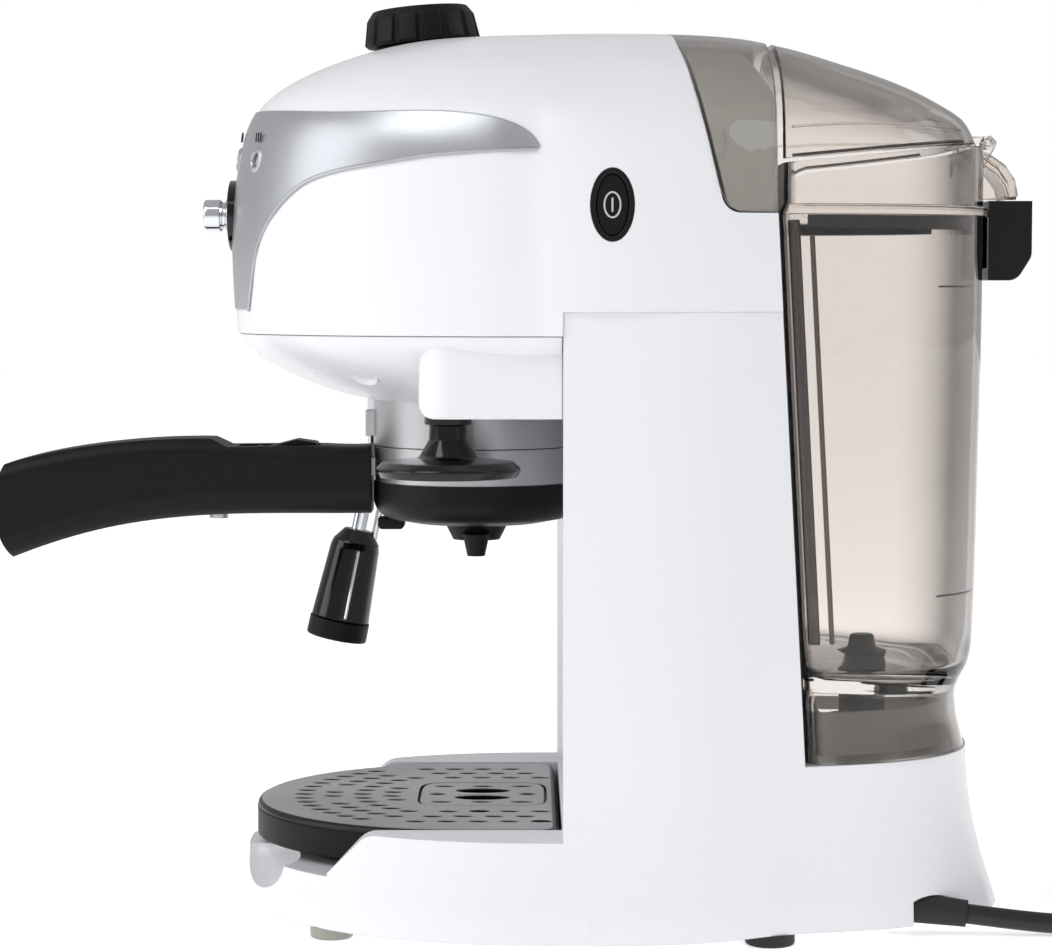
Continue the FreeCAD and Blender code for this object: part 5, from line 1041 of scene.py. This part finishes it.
@dataclass
class HeadTrim:
    """Beads, lights, marks and the screw dish on the head."""

    envelope: Envelope
    lower_edge: tuple[tuple[float, float], ...] = (
        (-85.9, 202.6), (-84.6, 211.0), (-82.6, 221.5), (-79.5, 228.9), (-71.8, 238.7), (-63.8, 244.1), (-54.1, 246.9),
        (-38.2, 249.4), (-21.5, 251.5), (-4.7, 252.5), (8.6, 253.0))
    lights: tuple[tuple[float, float], ...] = ((12.0, 252.0), (38.0, 251.0))
    rim_profile: tuple[tuple[float, float], ...] = (
        (2.3, -0.6), (2.3, 0.5), (2.7, 0.9), (3.5, 0.8), (4.2, 0.2), (4.3, -0.6))
    dish_profile: tuple[tuple[float, float], ...] = (
        (3.2, -1.6), (3.4, -1.4), (4.3, 0.1), (5.0, 0.55), (5.6, 0.1), (5.7, -1.6))
    dish: Point = (50.0, -47.7, 181.4)

    def fascia_bead(self) -> None:
        """Lay the bright bead along the lower edge of the fascia, on both cheeks."""
        places = list(range(len(self.lower_edge)))
        depth = monotone(places, [y for y, _ in self.lower_edge])
        height = monotone(places, [z for _, z in self.lower_edge])
        made = bmesh.new()
        for side in (-1, 1):
            path = []
            for k in range(91):
                y, z = depth(k / 9), height(k / 9)
                path.append((side * (self.envelope.side_x(y, z) + 0.35), y - 0.3, z - 0.5))
            merge(made, round_bar(path, 0.62, 8))
        piece = finish_mesh("fascia_bead", made, SILVER_LACQUER)
        settle(piece, "machine")

    def light_rims(self) -> None:
        """Turn a dished rim round each light and engrave a plain mark above it."""
        rims, marks = bmesh.new(), bmesh.new()
        for x, z in self.lights:
            y = self.envelope.front_y(x, z)
            ahead = Vector((x / 60.0, -1.0, 0.12)).normalized()
            seat = Vector((x, y, z)) + ahead * 0.3
            merge(rims, turned(self.rim_profile, seat, ahead, 32))
            aside = Vector((0, 0, 1)).cross(ahead).normalized()
            up = ahead.cross(aside)
            heart = seat + up * 7.5 + ahead * 0.15
            if x < 20:
                path = [heart + aside * 1.7 * math.cos(a) + up * 1.7 * math.sin(a)
                        for a in [math.radians(d) for d in range(-50, 240, 20)]]
                merge(marks, round_bar(path, 0.26, 6))
            else:
                for step in (-1.5, 0.0, 1.5):
                    merge(marks, round_bar([heart + aside * step - up * 1.5, heart + aside * step + up * 1.5], 0.26, 6))
        settle(finish_mesh("light_rims", rims, SILVER_LACQUER), "machine")
        settle(finish_mesh("light_marks", marks, INK_DARK), "machine")

    def screw_dish(self) -> None:
        """Turn the dished screw seat under the chin, with its screw."""
        ahead = Vector((0.5, -0.32, -0.8)).normalized()
        made = turned(self.dish_profile, self.dish, ahead, 40)
        settle(finish_mesh("chin_screw_dish", made, WHITE_ABS), "machine")
        seat = Vector(self.dish) - ahead * 1.35
        made = turned([(2.9, -0.2), (2.9, 0.3), (2.3, 0.6), (0.9, 0.6), (0.8, 0.1)], seat, ahead, 24)
        settle(finish_mesh("chin_screw", made, STEEL), "machine")

    def build(self) -> None:
        """Make the head's trim."""
        self.fascia_bead()
        self.light_rims()
        self.screw_dish()


@dataclass
class PowerSymbol:
    """Printed mark and raised ring of the power button."""

    centre: tuple[float, float] = (31.6, 235.2)

    def build(self) -> None:
        """Print the ring and bar; they travel with the button."""
        y0, z0 = self.centre
        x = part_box("power_button")[1][0] / MM + 0.02
        ring = []
        for k in range(33):
            turn = 2 * math.pi * k / 32
            ring.append((x, y0 + 2.5 * math.cos(turn), z0 + 3.9 * math.sin(turn)))
        made = round_bar(ring, 0.32, 6)
        merge(made, round_bar([(x, y0, z0 - 2.2), (x, y0, z0 + 2.2)], 0.34, 6))
        settle(finish_mesh("power_mark", made, INK_LIGHT), "power_push")


@dataclass
class WandTrim:
    """Bright strips of the frother, and the catch under the handle."""

    top: Point = (-66.0, -50.0, 150.0)
    tilt_degrees: float = 12.0
    catch_profile: tuple[tuple[float, float], ...] = (
        (-45.5, 131.5), (-45.5, 128.6), (-44.6, 127.6), (-37.4, 127.6), (-36.4, 128.6), (-36.4, 131.5))

    def spot(self, down: float, out: float, around: float) -> Vector:
        """Return a point on the frother's skin.

        Args:
            down: distance down its axis.
            out: distance from the axis.
            around: degrees round it, from the +X side.
        """
        tilt = math.radians(self.tilt_degrees)
        along = Vector((0.0, -math.sin(tilt), -math.cos(tilt)))
        first = Vector((1.0, 0.0, 0.0))
        second = along.cross(first)
        turn = math.radians(around)
        return Vector(self.top) + along * down + (first * math.cos(turn) + second * math.sin(turn)) * out

    def build(self) -> None:
        """Make the strips on both cheeks of the sleeve and the black catch."""
        made = bmesh.new()
        for around in (-12.0, 168.0):
            path = [self.spot(36 + 25 * k / 8, 8.95 + 1.6 * k / 8, around) for k in range(9)]
            merge(made, round_bar(path, 0.55, 6))
        settle(finish_mesh("frother_strips", made, CHROME), "wand")
        piece = finish_mesh("handle_catch", slab(self.catch_profile, -5.0, 5.0), BLACK_TEXTURED)
        soften(piece, 0.5)
        settle(piece, "filter_holder")


@dataclass
class LevelMarks:
    """Two moulded level lines round the tank's rear corner: one form, repeated by a node tree."""

    tank: WaterTank
    low_z: float = 110.0
    pitch: float = 100.0
    count: int = 2
    from_y: float = 137.0
    to_x: float = 22.0

    def build(self) -> None:
        """Lay the lower line along the wall and repeat it at the upper level."""
        ring = self.tank.ring(self.low_z, self.tank.wall + 0.05)
        path = [p for p in ring if p.x > self.to_x and p.y > self.from_y]
        holder = finish_mesh("tank_level_lines", round_bar(path, 0.35, 6), SMOKED_THICK_AND_SHADED)
        tree, given, known = make_tree("level_lines",
                                       [("Count", "NodeSocketInt", 2), ("Pitch", "NodeSocketFloat", 0.1)])
        rise = add_node(tree, "ShaderNodeCombineXYZ", {}, {"Z": given.outputs["Pitch"]})
        line = add_node(tree, "GeometryNodeMeshLine", {},
                        {"Count": given.outputs["Count"], "Offset": rise.outputs["Vector"]})
        placed = add_node(tree, "GeometryNodeInstanceOnPoints", {}, {"Points": line.outputs["Mesh"],
                                                                     "Instance": given.outputs["Geometry"]})
        end_tree(tree, placed.outputs["Instances"], SMOKED_THICK_AND_SHADED)
        run_tree(holder, tree, known, {"Count": self.count, "Pitch": self.pitch * MM})
        settle(holder, "tank")


@dataclass
class Studio:
    """Camera, floor and soft light."""

    camera_place: Point = (0.985, 0.0049, 0.2103)
    camera_drop_degrees: float = 3.757
    lens_mm: float = 99.0
    floor_half: float = 6.0
    world_strength: float = 0.5
    floor_glow: float = 0.52

    def build(self) -> None:
        """Make the camera first, then the floor, the world and the lights."""
        data = bpy.data.cameras.new("view")
        data.lens = self.lens_mm
        data.sensor_width = 36.0
        data.clip_start = 0.01
        camera = bpy.data.objects.new("view", data)
        bpy.context.scene.collection.objects.link(camera)
        camera.location = self.camera_place
        camera.rotation_euler = (math.radians(90 - self.camera_drop_degrees), 0.0, math.radians(90))
        bpy.context.scene.camera = camera
        self._floor()
        self._world()
        self._lamp("key", (0.8, -0.7, 1.25), 0.8, 7.6)
        self._lamp("front", (0.35, -1.6, 0.7), 1.0, 7.0)
        self._lamp("rear", (0.1, 1.5, 0.9), 0.9, 5.0)
        bpy.context.scene.view_settings.view_transform = "Standard"

    def _floor(self) -> None:
        """Plain pale floor under the feet."""
        half = self.floor_half
        mesh = bpy.data.meshes.new("floor")
        corners = [(-half, -half, 0), (half, -half, 0), (half, half, 0), (-half, half, 0)]
        mesh.from_pydata(corners, [], [(0, 1, 2, 3)])
        floor = bpy.data.objects.new("floor", mesh)
        bpy.context.scene.collection.objects.link(floor)
        made = bpy.data.materials.new("Matte_paper_sweep")
        made.use_nodes = True
        shader = made.node_tree.nodes["Principled BSDF"]
        shader.inputs["Base Color"].default_value = linear("#FBFBFB")
        shader.inputs["Roughness"].default_value = 0.8
        shader.inputs["Emission Color"].default_value = (1.0, 1.0, 1.0, 1.0)
        shader.inputs["Emission Strength"].default_value = self.floor_glow
        mesh.materials.append(made)

    def _world(self) -> None:
        """Even white surroundings."""
        world = bpy.data.worlds.new("studio")
        bpy.context.scene.world = world
        world.use_nodes = True
        tree = world.node_tree
        tree.nodes.clear()
        soft = add_node(tree, "ShaderNodeBackground", {"Color": (1.0, 1.0, 1.0, 1.0), "Strength": self.world_strength})
        sweep = add_node(tree, "ShaderNodeBackground", {"Color": (1.0, 1.0, 1.0, 1.0), "Strength": 1.0})
        seen = add_node(tree, "ShaderNodeLightPath")
        clear_view = add_node(tree, "ShaderNodeMath", {"operation": "MAXIMUM"},
                              {0: seen.outputs["Is Camera Ray"], 1: seen.outputs["Is Transmission Ray"]})
        mix = add_node(tree, "ShaderNodeMixShader", {},
                       {0: clear_view.outputs["Value"], 1: soft.outputs[0], 2: sweep.outputs[0]})
        add_node(tree, "ShaderNodeOutputWorld", {}, {"Surface": mix.outputs[0]})

    def _lamp(self, name: str, place: Point, size: float, watts: float) -> None:
        """Hang one soft square light that looks at the machine.

        Args:
            name: lamp's name.
            place: where it hangs.
            size: side of its square.
            watts: its power.
        """
        data = bpy.data.lights.new(name, "AREA")
        data.size = size
        data.energy = watts
        lamp = bpy.data.objects.new(name, data)
        bpy.context.scene.collection.objects.link(lamp)
        lamp.location = place
        aim = Vector((0.0, 0.0, 0.15)) - Vector(place)
        lamp.rotation_euler = aim.to_track_quat("-Z", "Y").to_euler()


@dataclass
class PowerCord:
    """Mains cord: a short visible run, then a neat coil with the plug lying on it."""

    diameter: float = 6.5 * MM
    route: tuple[Point, ...] = (
        (0.0570, 0.1480, 0.0068), (0.0590, 0.1630, 0.0052), (0.0586, 0.1790, 0.0036),
        (0.0550, 0.1970, 0.0033), (0.0505, 0.2150, 0.0033), (0.0493, 0.2320, 0.0033),
    )
    coil_centre: tuple[float, float] = (0.007, 0.238)
    coil_radius: float = 39.0 * MM
    tail: tuple[Point, ...] = ((0.0493, 0.2445, 0.0097), (0.0493, 0.2570, 0.0097))
    points_per_turn: int = 16
    length: float = 1.080

    def coil_points(self) -> list[Point]:
        """Return the control points of the turns, two beside each other and two layers high."""
        step = self.diameter
        outer = self.coil_radius + step / 2
        inner = self.coil_radius - step / 2
        low = step / 2
        radii = [outer, inner, inner, outer]
        heights = [low, low, low + step, low + step]
        points = []
        for turn in range(len(radii)):
            for i in range(self.points_per_turn):
                angle = 2 * math.pi * i / self.points_per_turn
                late = max(0.0, (i - self.points_per_turn * 0.75) / (self.points_per_turn * 0.25))
                following = min(turn + 1, len(radii) - 1)
                radius = radii[turn] + (radii[following] - radii[turn]) * late
                height = heights[turn] + (heights[following] - heights[turn]) * late
                x = self.coil_centre[0] + radius * math.cos(angle)
                y = self.coil_centre[1] + radius * math.sin(angle)
                points.append((x, y, height))
        return points

    def build(self) -> bpy.types.Object:
        curve = bpy.data.curves.new("mains_cord", "CURVE")
        curve.dimensions = "3D"
        curve.bevel_depth = self.diameter / 2
        curve.bevel_resolution = 5
        curve.resolution_u = 8
        curve.use_fill_caps = True
        spline = curve.splines.new("NURBS")
        points = list(self.route) + self.coil_points() + list(self.tail)
        spline.points.add(len(points) - 1)
        for control, place in zip(spline.points, points):
            control.co = (*place, 1.0)
        spline.order_u = 3
        spline.use_endpoint_u = True
        cord = bpy.data.objects.new("mains_cord", curve)
        bpy.context.scene.collection.objects.link(cord)
        curve.materials.append(CORD_PVC.material())
        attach(cord, "machine")
        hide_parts("power_cord", "cord_coil")
        log.info("mains cord laid")
        return cord


def dress_nodes() -> None:
    """Give every CAD node its finish."""
    for name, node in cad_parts.items():
        node.data.materials.clear()
        node.data.materials.append(NODE_FINISH[name].material())


def main() -> None:
    """Build the studio, the cord and every piece."""
    logging.basicConfig(level=logging.INFO, format="%(name)s: %(message)s")
    Studio().build()
    PowerCord().build()
    dress_nodes()
    envelope = Envelope()
    tank = WaterTank(envelope)
    tank.build()
    DripGrill().build()
    HeadTrim(envelope).build()
    PowerSymbol().build()
    WandTrim().build()
    LevelMarks(tank).build()


if __name__ == "__main__":
    main()
